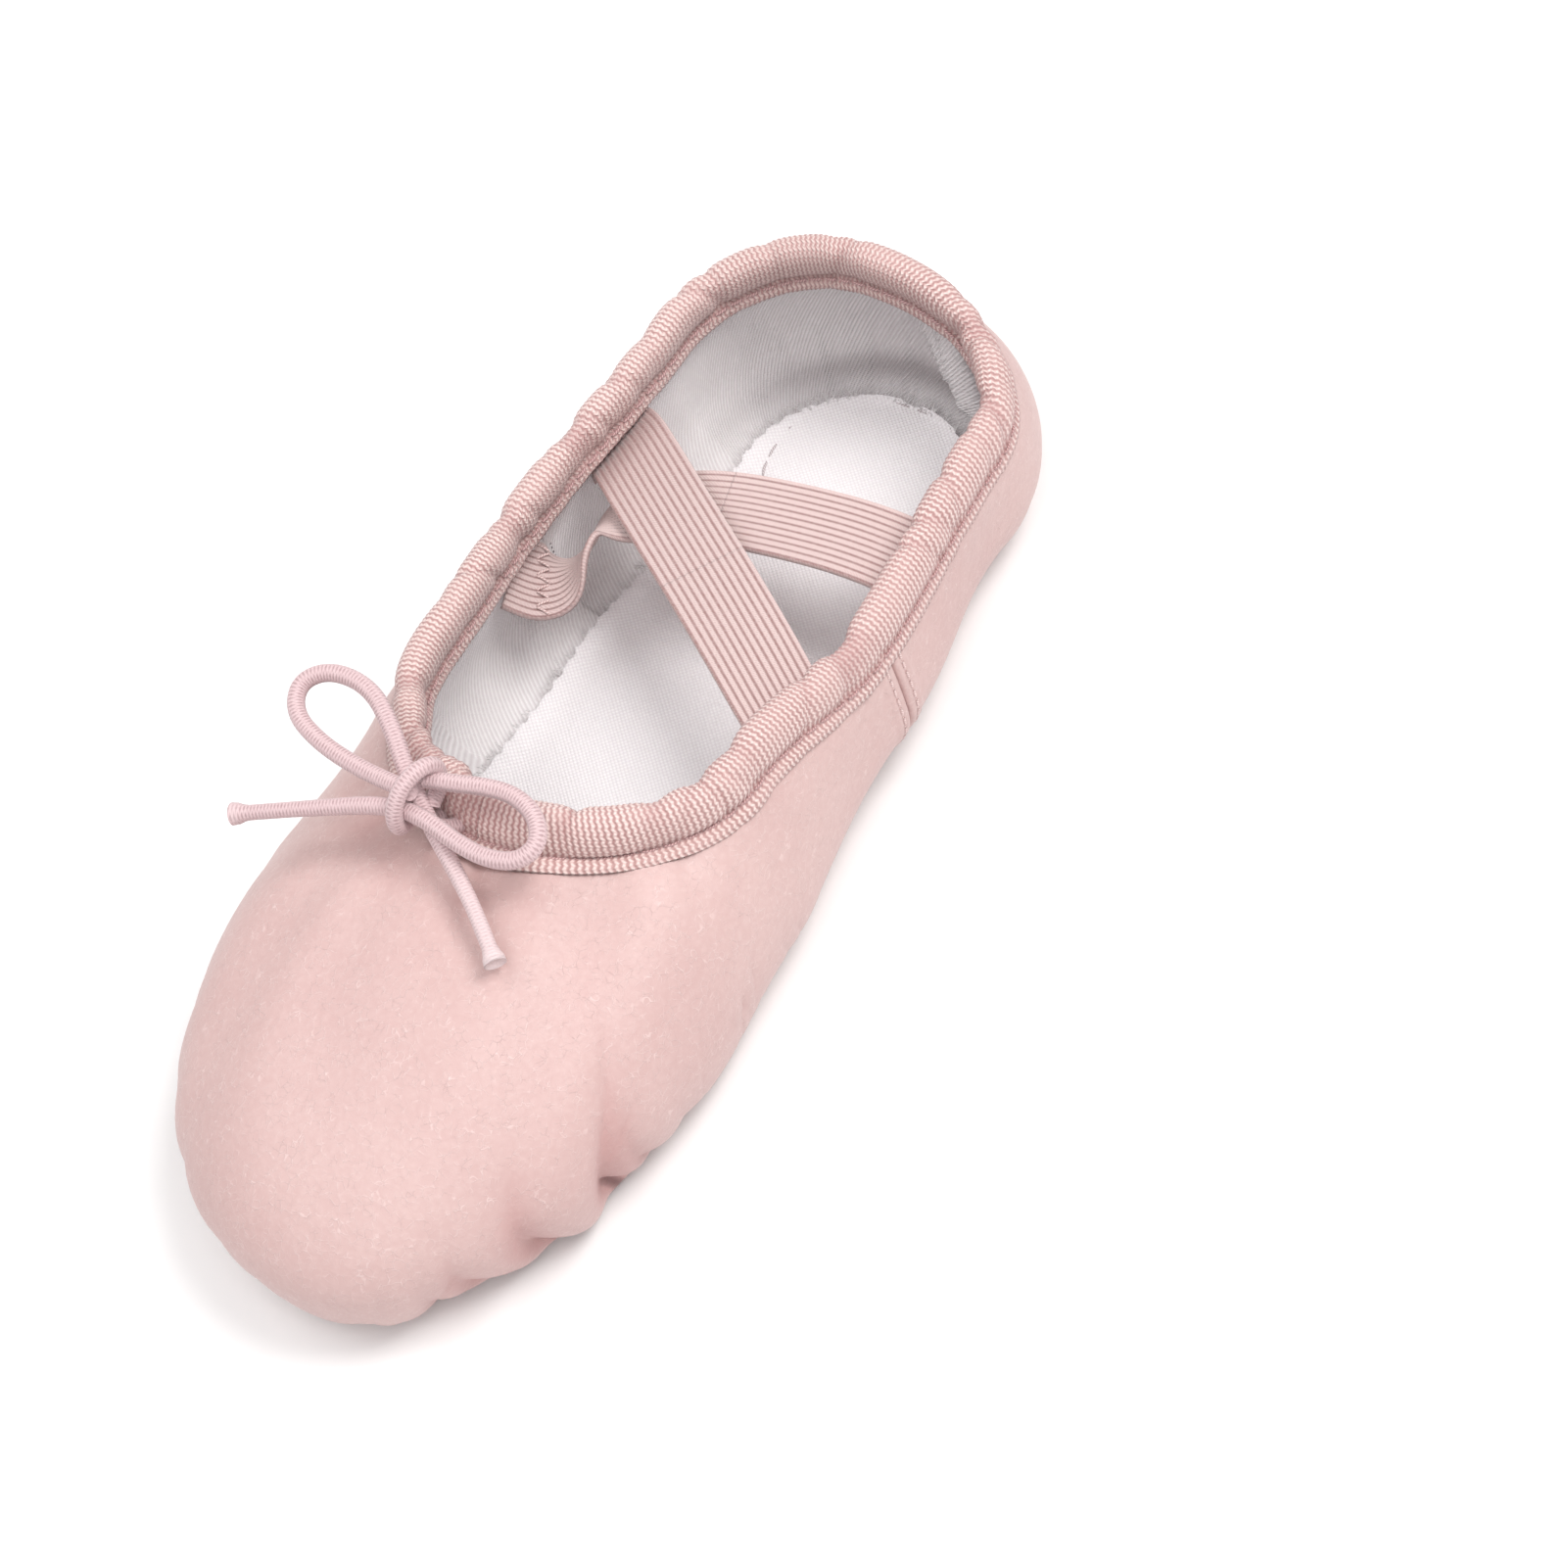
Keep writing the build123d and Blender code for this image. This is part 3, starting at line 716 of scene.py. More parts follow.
def tape_paint():
    """Cross-ribbed tape: ribs across its width, with a slanted twist along each rib."""
    p = Paint("ribbed_binding_tape", 0.72, sheen=0.3, specular=0.3)
    rib, across, _ = p.cloth()
    zigzag = p.calc("PINGPONG", p.calc("DIVIDE", across, 0.55), 1.0)
    ridge = p.wave(p.tilted(rib, zigzag, 0.24), RIB_PITCH)
    slope = p.calc("PINGPONG", p.calc("DIVIDE", rib, RIB_PITCH / 2), 1.0)
    twist = p.wave(p.tilted(across, slope, 0.3), 0.62)
    rest = p.rest()
    colour = p.layers(
        p.mix(p.range(ridge, 0.08, 0.8), (0.44, 0.25, 0.24), (0.83, 0.67, 0.635)),
        (twist, 0.0, 0.8, 0.42, 0.0, (0.50, 0.30, 0.29)),
        (p.noise(rest, 0.16, 2), 0.4, 0.62, 0.0, 0.22, (0.66, 0.46, 0.44)),
    )
    # painted shade in the tape's puckers and along the grooves under the roll
    colour = p.mix(p.mark("valley"), colour, (0.38, 0.19, 0.19))
    return p.done(colour, (ridge, 0.00010), (twist, 0.00007), (p.noise(rest, 2.2, 4), 0.00003))


def elastic_paint():
    """Flat elastic: cords along its length, wound with fine thread."""
    p = Paint("ribbed_flat_elastic", 0.6, sheen=0.25, specular=0.35)
    length, across, _ = p.cloth()
    ridge = p.wave(across, STRAP_RIB)
    wound = p.wave(p.tilted(length, across, 1.3), 0.46)
    fuzz = p.noise(p.rest(), 2.4, 4)
    colour = p.layers(
        p.mix(p.range(ridge, 0.05, 0.75), (0.27, 0.145, 0.14), (0.70, 0.555, 0.54)),
        (wound, 0.0, 1.0, 0.28, 0.0, (0.55, 0.34, 0.32)),
        (fuzz, 0.4, 0.75, 0.0, 0.3, (0.76, 0.63, 0.61)),
    )
    return p.done(colour, (wound, 0.00006), (fuzz, 0.00003))


def cord_paint():
    """Round elastic cord with a fine braided cover. The weave's third value makes it paler."""
    p = Paint("braided_elastic_cord", 0.62, sheen=0.3, specular=0.35)
    length, around, pale = p.cloth()
    left, right = (p.wave(p.tilted(length, around, slope), 0.52) for slope in (1.56, -1.56))
    braid = p.calc("MAXIMUM", left, right)
    fuzz = p.noise(p.rest(), 2.8, 4)
    colour = p.layers(
        p.mix(p.range(braid, 0.3, 1.0), (0.43, 0.285, 0.295), (0.66, 0.485, 0.50)),
        (fuzz, 0.4, 0.75, 0.0, 0.45, (0.74, 0.59, 0.60)),
    )
    colour = p.mix(pale, colour, (0.72, 0.585, 0.59))
    return p.done(colour, (braid, 0.00006), (fuzz, 0.00006))


def thread_paint(name, dark, light):
    p = Paint(name, 0.55, sheen=0.15, specular=0.4)
    length, around, _ = p.cloth()
    ply = p.wave(p.tilted(length, around, 0.9), 0.45)
    return p.done(p.mix(p.range(ply, 0.1, 0.8), dark, light), (ply, 0.00005))


def felt_paint():
    p = Paint("needled_felt", 0.95, sheen=0.3, specular=0.1)
    tuft = p.noise(p.rest(), 1.6, 5, 0.7)
    colour = p.mix(p.range(tuft, 0.3, 0.7), (0.62, 0.61, 0.58), (0.84, 0.83, 0.80))
    return p.done(colour, (tuft, 0.00015))


def floor_paint():
    p = Paint("pale_floor", 0.8, specular=0.1)
    where = p.node("TexCoord", output=3)
    return p.done(p.mix(p.noise(where, 3.0, 2), (0.86, 0.86, 0.86), (0.88, 0.88, 0.88)))


# ---- what each piece is and how it moves ----
def dress(obj, material, slot, *nodes):
    obj.data.materials.append(material)
    if nodes:
        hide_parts(*nodes)
    return obj


def bend(obj):
    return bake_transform(obj)


def carry(obj, body):
    """Pieces of the forefoot ride on it. Those of the heel stay where they are, with their
    transform baked into the mesh.
    """
    return bend(obj) if body == "heel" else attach(obj, body)


def thread(name, lines, radius, sides, material, *nodes, slot="thread", lifted=False):
    """Many short stitches as one piece, thinner at the ends of each."""
    ends = np.sin(np.linspace(0.12, 0.88, len(lines[0])) * math.pi) ** 0.35
    points, faces, cloth = tubes(lines, radius * ends, sides)
    obj = make(name, arch(points) if lifted else points, faces, cloth)
    return dress(obj, material, slot, *nodes)


# ---- camera ----
def camera():
    """Looks down on the slipper from its left front, with the toe towards the lower left."""
    turn = Vector((-0.186, -0.706, -1.986))
    view = Matrix.Rotation(turn.length, 3, turn.normalized())
    spot = view.transposed() @ Vector((20.23, 6.07, 616.05)) * MM
    data = bpy.data.cameras.new("camera")
    data.sensor_width = 36.0
    data.lens = 98.6
    obj = add("camera", data)
    obj.matrix_world = Matrix.Translation(spot) @ view.transposed().to_4x4()
    bpy.context.scene.camera = obj


# ---- drawstring bow ----
# control points from the knot round the loop, back through the knot and out to the tail's tip
LEFT_STRAND = [
    (30.2, -7.6, 45.8), (29.8, -11.6, 45.0), (29.5, -17.5, 44.7), (28.4, -24.5, 44.9),
    (26.2, -30.0, 45.6), (22.0, -31.6, 46.6), (18.9, -28.0, 47.4), (19.0, -21.5, 47.2),
    (22.6, -16.0, 46.0), (26.6, -11.6, 44.4), (29.2, -8.2, 42.9), (31.6, -4.8, 41.8),
    (33.8, -1.4, 41.1), (36.8, 3.2, 40.0), (40.4, 8.2, 39.0), (44.4, 13.0, 37.6),
]
RIGHT_STRAND = [
    (27.4, -7.4, 45.2), (26.6, -3.2, 45.7), (25.4, 1.0, 46.0), (24.8, 5.4, 46.1),
    (26.2, 9.8, 45.8), (29.4, 12.2, 45.0), (32.6, 10.6, 44.0), (33.8, 6.2, 43.6),
    (33.4, 1.0, 43.7), (32.2, -4.2, 44.0), (31.9, -9.4, 43.4), (33.4, -14.6, 42.6),
    (35.6, -20.0, 41.6), (38.0, -26.0, 40.4), (40.6, -32.4, 39.0),
]
KNOT = np.array((30.6, -8.0, 43.8))
CORD_HOLE = np.array((28.4, -4.6, 38.4))


def spline_points(route):
    """Points of the smooth curve that a route controls, in millimetres."""
    curve = bpy.data.curves.new("route", "CURVE")
    curve.dimensions = "3D"
    curve.resolution_u = 14
    spline = curve.splines.new("NURBS")
    spline.points.add(len(route) - 1)
    for point, spot in zip(spline.points, route):
        point.co = (*[v * MM for v in spot], 1.0)
    spline.order_u = 3
    spline.use_endpoint_u = True
    holder = add("route", curve)
    mesh = bpy.data.meshes.new_from_object(holder)
    points = np.array([v.co[:] for v in mesh.vertices]) / MM
    bpy.data.objects.remove(holder)
    bpy.data.meshes.remove(mesh)
    bpy.data.curves.remove(curve)
    return points


def strand(name, node, route, pale, material):
    """One side of the bow: a loop, then a tail that ends in a flared, sealed tip."""
    sides = 20
    path = spline_points(route)
    run = run_along(path)
    left = run[-1] - run
    thin = 1 - 0.14 * smooth((22 - left) / 14)
    tip = 1 + 0.48 * smooth((2.4 - left) / 2.0)
    points, faces, cloth = tube(path, CORD_R * thin * tip, sides)
    paler = pale * smooth((24 - left) / 18) + 0.35 * smooth((2.2 - left) / 1.5)
    cloth[:, 2] = np.repeat(paler, sides)
    obj = dress(make(name, points, faces, cloth), material, "elastic_cord", node)
    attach(obj, "bow")


def knot_piece(material):
    """The turn of cord that holds the bow's strands together."""
    slope = np.array((0.77, 0.0, -0.64))
    rise = np.array((0.64, 0.0, 0.77))
    turn = np.linspace(-0.62 * math.pi, 1.62 * math.pi, 90)
    from_top = turn - 0.5 * math.pi
    tuck = 1 - 0.28 * smooth((np.abs(from_top) - 0.9 * math.pi) / 0.6)
    path = KNOT - 0.9 * slope - 0.2 * rise
    path = path + (4.7 * tuck * np.cos(turn))[:, None] * slope
    path = path + (3.6 * tuck * np.sin(turn))[:, None] * rise
    path[:, 1] += 0.55 * from_top + 0.3 * np.cos(2 * turn)
    obj = make("bow_wrap", *tube(path, 1.18, 20))
    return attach(dress(obj, material, "elastic_cord", "bow_knot"), "bow")


def cord_stub(material):
    """The drawstring's two ends between the casing's hole and the knot."""
    share = smooth(np.linspace(0, 1, 24))[:, None]
    swing = np.sin(np.linspace(0, math.pi, 24))[:, None]
    paths = []
    for shift in (-1.5, 1.3):
        start = CORD_HOLE + np.array((-1.2, shift, -0.6))
        end = KNOT + np.array((0.0, shift * 0.5, -0.8))
        paths.append(start + (end - start) * share + swing * np.array((1.8, 0.2 * shift, -0.4)))
    obj = dress(make("drawstring_ends", *tubes(paths, 1.15, 16)), material, "elastic_cord")
    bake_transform(obj)


# ---- leather and linings ----
def wall_rows(over_sole, low, high):
    """Rows over the sole, up to the widest line and up to the binding, with no row twice."""
    return np.concatenate([np.linspace(-1, 0, over_sole)[:-1], np.linspace(0, 1, low)[:-1],
                           np.linspace(1, 2, high)])


ROWS = wall_rows(25, 25, 52)
LINING_ROWS = wall_rows(13, 15, 35)
# slack folds of the lining: run along the outline, depth, half width, slant
SLACK = [(rng.uniform(-200, 440), rng.uniform(0.4, 1.1), rng.uniform(3.0, 7.0),
          rng.uniform(-0.35, 0.35)) for _ in range(34)]
# the bunch at the heel: run from the heel's centre, depth, half width, slant
HEEL_BUNCH = ((0.5, 2.4, 1.3, 0.36), (-4.6, 3.6, 1.4, 0.44), (-10.0, 3.8, 1.4, 0.50),
              (-15.6, 2.8, 1.4, 0.54))


def seam_relief(wall):
    """The turned edges beside the side seams and the seam under the arch."""
    beside = wall.past_seam
    relief = 0.32 * smooth((3.6 - np.abs(beside)) / 1.2)
    relief -= 0.55 * bell(beside, 0.45)
    relief -= 0.22 * (bell(beside + 1.8, 0.45) + bell(beside - 1.7, 0.45))
    relief = relief * smooth((wall.height - 3) / 6)
    x = wall.base[..., 0]
    y = np.abs(wall.base[..., 1])
    under = 1 - smooth((wall.height - SOLE_Z) / 2)
    under = under * smooth((4 - x) / 4) * smooth((x + 50) / 4)
    return relief + under * (0.35 * smooth((5.5 - y) / 2) - 0.6 * bell(y, 0.7)
                             - 0.2 * bell(y - 2.8, 0.5))


def leather_piece(name, node, first, last, count, material):
    wall = Wall(Columns(spaced(first, last, count)), ROWS)
    puff = folds(wall)
    relief = seam_relief(wall)
    shown = smooth((wall.past_patch + 1.2) / 1.5)
    outer = wall.moved((puff + relief) * shown)
    lowest = np.where(wall.past_patch > 0.3, 0.12, SOLE_Z - 0.02)
    outer[..., 2] = np.maximum(outer[..., 2], lowest)
    inner = wall.moved(puff * shown - LEATHER)
    # painted shade: darker in the folds' valleys and the seams' grooves, nearly black at the
    # pleats' bottoms
    valley = np.maximum(0.6 * smooth((-puff - 0.4) / 2.2), 0.4 * smooth(-relief / 0.4))
    valley = np.maximum(valley, pleat_shade(wall)) * shown
    bend(dress(shell(name, outer, inner, 3, valley=valley), material, "leather_upper", node))


def deepest(depth):
    """The deepest of each point's neighbours, so that the lining clears the leather's valleys."""
    for _ in range(3):
        for axis in (0, 1):
            near = np.minimum(np.roll(depth, 1, axis), np.roll(depth, -1, axis))
            depth = np.minimum(depth, near)
    return depth


def lining_folds(wall):
    """Slack folds of the lining, always away from the leather. The deepest is a bunch beside
    the heel. They lie flat at the side seams, which show as a ridge."""
    outline = runs(wall.columns, OUTLINE_RUN)
    share = wall.run_up / wall.run_up[:, -1:]
    belly = np.sin(np.clip(share, 0, 1) * math.pi) ** 0.7
    fold = np.zeros_like(share)
    for run, depth, width, slant in SLACK:
        fold += depth * bell(outline - run - slant * (wall.run_up - 30), width) * belly
    fold *= 1 - 0.9 * bell(wall.past_seam, 6)
    behind = outline - HEEL_RUN
    up = wall.run_up - 36
    for shift, depth, width, slant in HEEL_BUNCH:
        ridge = np.exp(-np.abs(behind - shift - slant * up) / width)
        fold += depth * bell(share - 0.56, 0.30) * ridge
    fold += 4.6 * bell(share - 0.52, 0.26) * bell(behind + 8.0 - 0.46 * up, 6.5)
    fold += 0.45 * smooth((3.4 - np.abs(wall.past_seam)) / 0.9)
    return np.maximum(fold, 0)


def lining_crease_shade(wall, fold):
    """Painted shade where cloth lies against cloth: between folds, and behind the insole's edge at
    the heel.
    """
    beside = (np.roll(fold, 3, 0) + np.roll(fold, -3, 0)) / 2
    between = 0.62 * smooth((beside - fold - 0.15) / 1.0)
    from_heel = runs(wall.columns, OUTLINE_RUN) - HEEL_RUN
    return np.maximum(between, 0.55 * bell(wall.height - 4.2, 2.2) * bell(from_heel, 30))


def lining_piece(name, node, first, last, count, material):
    wall = Wall(Columns(spaced(first, last, count)), LINING_ROWS)
    valleys = deepest(np.minimum(folds(wall), 0)) * smooth((wall.past_patch + 4) / 2)
    fold = lining_folds(wall) * smooth((wall.height - SOLE_Z - 0.05) / 1.5)
    outer = wall.moved(valleys - LINING_IN - 0.6 * fold)
    inner = wall.moved(valleys - LINING_OUT - fold)
    outline = np.broadcast_to(runs(wall.columns, OUTLINE_RUN), fold.shape)
    weave = np.stack([outline, wall.run_up, 0 * fold], -1)
    # the crease mark is painted shade
    obj = shell(name, inner, outer, 2, weave, crease=lining_crease_shade(wall, fold))
    bend(dress(obj, material, "cotton_lining", node))


# ---- sole patches, the pads over them and the insole ----
# each row of stitches: inset from the patch's edge, number of stitches
STITCH_ROWS = {
    "forefoot": (FOREFOOT_PATCH, ((3.0, 38), (6.6, 34))),
    "heel": (HEEL_PATCH, ((2.6, 22), (5.6, 17))),
}
PATCH_STEPS = {"forefoot": 540, "heel": 330}
HOLE_OFFSET = 0.42       # needle holes lie in pairs, this far each side of their row
INSOLE_INSET = TURN_UNDER + LINING_OUT - 0.5
INSOLE_TOP = FLOOR_Z + INSOLE + 0.3
FRAY_COUNT = 520


def insole_half_width(x):
    columns = Columns(np.linspace(0, 3, 700))
    r = columns.full - INSOLE_INSET
    edge = columns.place(r, 0 * r)
    order = np.argsort(edge[:, 0])
    return np.interp(x, edge[order, 0], np.abs(edge[order, 1]))


def insole_dip(x, y):
    """Slight waves of the insole, and a hollow under the ball of the foot."""
    return 0.18 * np.sin(x * 0.12 + 1) * np.cos(y * 0.16) - 0.35 * bell(x - 40, 26) * bell(y, 14)


def heel_row_dip(x, y):
    """The furrow that the heel's outer row of stitches pulls into the insole."""
    gap = np.full(np.shape(x), 99.0)
    inset = STITCH_ROWS["heel"][1][0][0]
    for ax, ay in zip(*egg(HEEL_PATCH, np.linspace(0, CIRCLE, 60), inset)):
        gap = np.minimum(gap, np.hypot(x - ax, y - ay))
    return 0.22 * bell(gap, 0.8)


def insole_piece(material):
    nu, nv = 321, 71
    back = HEEL_X + INSOLE_INSET + 0.02
    front = TOE_X - INSOLE_INSET - 0.02
    x = (back + front) / 2 - (front - back) / 2 * np.cos(np.linspace(0.02, 0.98, nu) * math.pi)
    q = np.sin(np.linspace(-1, 1, nv) * math.pi / 2)[None, :]
    half = insole_half_width(x)[:, None]
    px = np.broadcast_to(x[:, None], (nu, nv))
    rag = 0.25 * np.sin(px * 2.1 + 3 * q) + 0.18 * np.sin(px * 5.3)
    py = half * q + rag * np.sign(q) * np.abs(q) ** 8
    curl_up = 0.9 * bell(half * (1 - np.abs(q)), 2.2) * (1 + 0.35 * np.sin(px * 0.31 + 2))
    dip = insole_dip(px, py)
    top = np.stack([px, py, INSOLE_TOP + curl_up + dip - heel_row_dip(px, py)], -1)
    low = np.stack([px, py, FLOOR_Z + curl_up * 0.8 + dip * 0.5], -1)
    obj = shell("insole_canvas", top, low, 2, np.stack([px, py, 0 * px], -1))
    bend(dress(obj, material, "canvas_insole", "insole"))
    extras = [fray_piece(), insole_stitches()]


def fray_piece():
    """Loose yarn ends along the insole's cut edge."""
    lines = []
    for _ in range(FRAY_COUNT):
        column = Columns(np.array([rng.uniform(-3, 3)]))
        edge = column.place(column.full - INSOLE_INSET, np.array([FLOOR_Z + INSOLE + 0.95]))[0]
        out = column.place(np.ones(1), np.zeros(1))[0] - (column.centre[0], 0, 0)
        lean = np.array((-out[1], out[0], 0.0)) * rng.uniform(-0.7, 0.7)
        length = rng.uniform(0.7, 1.9)
        way = out + lean + np.array((0, 0, rng.uniform(0.1, 0.8)))
        t = np.linspace(-0.35, 1, 5)[:, None]
        lines.append(edge + way * length * t - np.array((0, 0, 0.25)) * t * t * length)
    return bend(thread("insole_fray", lines, 0.10, 5, THREAD_WHITE, slot="canvas_insole",
                       lifted=True))


def insole_stitches():
    """Where the sole patches' outer rows of thread come through the insole."""
    lines = []
    for where, count in (("heel", 24), ("forefoot", 40)):
        patch, rows = STITCH_ROWS[where]
        for k in range(count):
            turn = CIRCLE * (k + np.linspace(0.1, 0.85, 5)) / count
            x, y = egg(patch, turn, rows[0][0])
            rise = 0.12 * np.sin(np.linspace(0, math.pi, 5)) - 0.05
            lines.append(np.stack([x, y, INSOLE_TOP + insole_dip(x, y) + rise], -1))
    return bend(thread("insole_thread", lines, 0.24, 6, THREAD_PALE, lifted=True))


def pad_piece(where, material):
    """Thin felt between a sole patch and the insole, with rounded edges."""
    patch = STITCH_ROWS[where][0]
    nu, nv = 90, 16
    turn = np.linspace(0, CIRCLE, nu, endpoint=False)
    share = np.linspace(0.02, 1, nv)[None, :]
    ex, ey = egg(patch, turn[:, None], PATCH_MARGIN + 0.5)
    x = patch[0] + (ex - patch[0]) * share
    y = ey * share
    round_off = 0.35 * (1 - smooth((1 - share) / 0.12))
    tufts = 0.12 * np.cos(x * 0.5) * np.sin(y * 0.6)
    top = np.stack([x, y, FLOOR_Z - 0.25 - round_off + tufts], -1)
    low = np.stack([x, y, SOLE_Z + 0.05 + round_off + 0 * x], -1)
    obj = make(where + "_felt", np.concatenate([top, low[:, ::-1]], 1), drum_faces(nu, 2 * nv))
    carry(dress(obj, material, "foam", where + "_pad"), where)


def stitch_places(patch, inset, count):
    """Needle holes along one row, evenly spaced but for a machine's small unevenness."""
    turn = np.linspace(0, CIRCLE, 2001)
    run = run_along(np.stack(egg(patch, turn, inset), -1))
    step = np.arange(count) + 0.12 * np.sin(np.arange(count) * 2.3)
    return np.interp((step / count) * run[-1], run, turn)


def patch_piece(where, material):
    """A suede patch with a groove, needle holes and a slightly wavy cut edge."""
    patch, rows = STITCH_ROWS[where]
    nu = PATCH_STEPS[where]
    turn = np.linspace(0, CIRCLE, nu, endpoint=False)[:, None]
    edge = np.linspace(0, 0.7, 5)[:-1]
    stitched = np.arange(0.7, rows[-1][0] + 3, 0.36)
    middle = np.linspace(stitched[-1] + 0.8, min(patch[1:]) - 1.5, 14)
    inset = np.concatenate([edge, stitched, middle])[None, :]
    ex, ey = egg(patch, turn, inset)
    wobble = (0.18 * np.sin(7 * turn) + 0.12 * np.sin(17 * turn + 1)) * (1 - smooth(inset / 6))
    ex = ex + wobble * np.cos(turn)
    ey = ey + wobble * np.sin(turn)
    groove = np.zeros_like(ex)
    pit = np.zeros_like(ex)
    for row_inset, count in rows:
        groove += 0.42 * bell(inset - row_inset, 0.85)
        for place in stitch_places(patch, row_inset, count):
            for offset in (-HOLE_OFFSET, HOLE_OFFSET):
                hx, hy = egg(patch, place, row_inset + offset)
                size = 0.44 + 0.08 * math.sin(31 * place + offset)
                pit = np.maximum(pit, bell(np.hypot(ex - hx, ey - hy), size))
    round_off = 0.5 * (1 - smooth(inset / 0.8)) + 0 * ex
    mottle = 0.05 * np.sin(ex * 1.9 + 2 * np.sin(ey * 1.3)) * np.sin(ey * 2.3)
    low = np.stack([ex, ey, round_off + groove + 0.75 * pit + 0.06 + mottle], -1)
    top = np.stack([ex, ey, PATCH - 0.25 * round_off], -1)
    # the pit mark paints shade into the needle holes
    marks = np.concatenate([smooth((pit - 0.25) / 0.5)[:, ::-1], 0 * pit], 1)
    obj = make(where + "_suede", np.concatenate([low[:, ::-1], top], 1),
               drum_faces(nu, 2 * inset.size), pit=marks)
    carry(dress(obj, material, "suede_sole", where + "_sole_patch"), where)


def patch_stitches(where):
    """Slanted stitches from hole to hole, one piece for each row."""
    patch, rows = STITCH_ROWS[where]
    t = np.linspace(0.10, 0.90, 7)
    for (inset, count), row in zip(rows, ("outer", "inner")):
        turns = stitch_places(patch, inset, count)
        lines = []
        for k in range(count):
            a = turns[k]
            b = turns[(k + 1) % count] + (CIRCLE if k == count - 1 else 0)
            x, y = egg(patch, a + (b - a) * t, inset + HOLE_OFFSET * (1 - 2 * t))
            lines.append(np.stack([x, y, 0.74 - 0.34 * np.sin(t * math.pi) ** 0.6], -1))
        carry(thread(f"{where}_thread_{row}", lines, 0.35, 10, THREAD_SOLE,
                     f"{where}_stitch_{row}"), where)


# ---- seams on the leather ----
def seam_lines(sign, shifts, starts, length, count, lift):
    """Stitches up the folded leather beside the side seam, raised by lift."""
    fan = 0.004
    lines = []
    for shift in shifts:
        u = SEAM_U + shift / SIDE_LENGTH
        u = u if sign > 0 else 6 - u
        wall = Wall(Columns(np.array([u - fan, u, u + fan])), ROWS)
        line = (wall.moved(folds(wall)) + lift * wall.out)[1]
        for start in starts:
            v = np.linspace(start, start + length, count)
            lines.append(np.stack([np.interp(v, ROWS, line[:, k]) for k in range(3)], -1))
    return lines


def side_seam(sign, side):
    """Two rows of topstitching, one each side of the seam's edge, and dark dots inside for their
    needle holes, which are painted shade.
    """
    name = "side_seam_thread_" + side
    lines = seam_lines(sign, (-1.7, 1.8), 0.35 + 0.15 * np.arange(11), 0.105, 5, 0.2)
    bend(thread(name, lines, 0.21, 7, THREAD_PINK, "side_seam_stitch_" + side, lifted=True))
    # painted shade: dark dots for the needle holes in the lining
    dots = seam_lines(sign, (-1.3, 1.5), 0.55 + 0.06 * np.arange(22), 0.022, 3, -LINING_OUT - 0.5)
    bend(thread(name + "_inside", dots, 0.24, 6, THREAD_SHADE))


def arch_seam(sign, side):
    """A row beside the seam under the arch, from patch to patch."""
    gap, pitch = 1.5, 3.2
    front = FOREFOOT_PATCH[0] - FOREFOOT_PATCH[1] - gap
    back = HEEL_PATCH[0] + HEEL_PATCH[1] + gap
    z = SOLE_Z - 0.32 - 0.1 * np.sin(np.linspace(0, math.pi, 5))
    lines = []
    for k in range(int((front - back) / pitch)):
        x = front - pitch * (k + np.linspace(0.14, 0.86, 5))
        lines.append(np.stack([x, sign * 2.8 + 0 * x, z], -1))
    bend(thread("arch_seam_thread_" + side, lines, 0.21, 7, THREAD_PINK,
                "arch_seam_stitch_" + side, lifted=True))


# ---- binding ----
# folds across the tape: run along the rim, depth, half width, slant
PUCKERS = [(rng.uniform(0, 430), rng.uniform(0.25, 0.85), rng.uniform(0.7, 1.9),
            rng.uniform(-0.5, 0.5)) for _ in range(92)]
KNOT_PUCKERS = (-10.5, -6.8, -3.4, 3.2, 6.6, 10.4)
OUTER_GROOVE = 3         # the section's row in the groove under the roll, outside
INNER_GROOVE = -4        # the same inside, counted from the end of the rows that show
BINDING_PITCH = 2.9


def binding_section(columns):
    """Outline of the rolled tape on each column, as r and z, and how many of its rows show."""
    up_r, up_z = -np.cos(columns.lean), np.sin(columns.lean)
    out_r, out_z = np.sin(columns.lean), np.cos(columns.lean)
    tr = -columns.inward * np.sin(columns.curl)
    tz = columns.upward * np.cos(columns.curl)
    size = np.hypot(tr, tz)
    tr, tz = tr / size, tz / size
    flange = 2.5 + 1.0 * bell(np.degrees(columns.angle), 16) * columns.toe
    r, z = [], []

    def on_wall(*spots):
        for down, out in spots:
            r.append(columns.top_r - tr * down + tz * out)
            z.append(columns.top_z - tz * down - tr * out)

    def on_roll(*spots):
        for a, b in spots:
            r.append(columns.top_r + out_r * a + up_r * b)
            z.append(columns.top_z + out_z * a + up_z * b)

    on_wall((flange, 0.62), (flange * 0.66, 0.92), (flange * 0.33, 0.90), (0.15, 0.52))
    for k in range(19):
        turn = math.radians(-58 + 280 * k / 18)
        c, s = math.cos(turn), math.sin(turn)
        on_roll((-0.75 + 2.35 * abs(c) ** 0.85 * math.copysign(1, c),
                 3.75 + 3.45 * abs(s) ** 0.9 * math.copysign(1, s)))
    on_roll((-2.35, 0.95), (-2.95, 0.75), (-3.45, 0.10), (-3.80, -0.65), (-3.75, -1.15))
    visible = len(r)
    on_roll((-3.35, -1.10), (-2.55, -0.05))
    on_wall((0.1, -LINING_OUT - 0.02), (-0.25, -0.85), (0.1, 0.05), (flange, 0.05))
    return np.stack(r, 1), np.stack(z, 1), visible


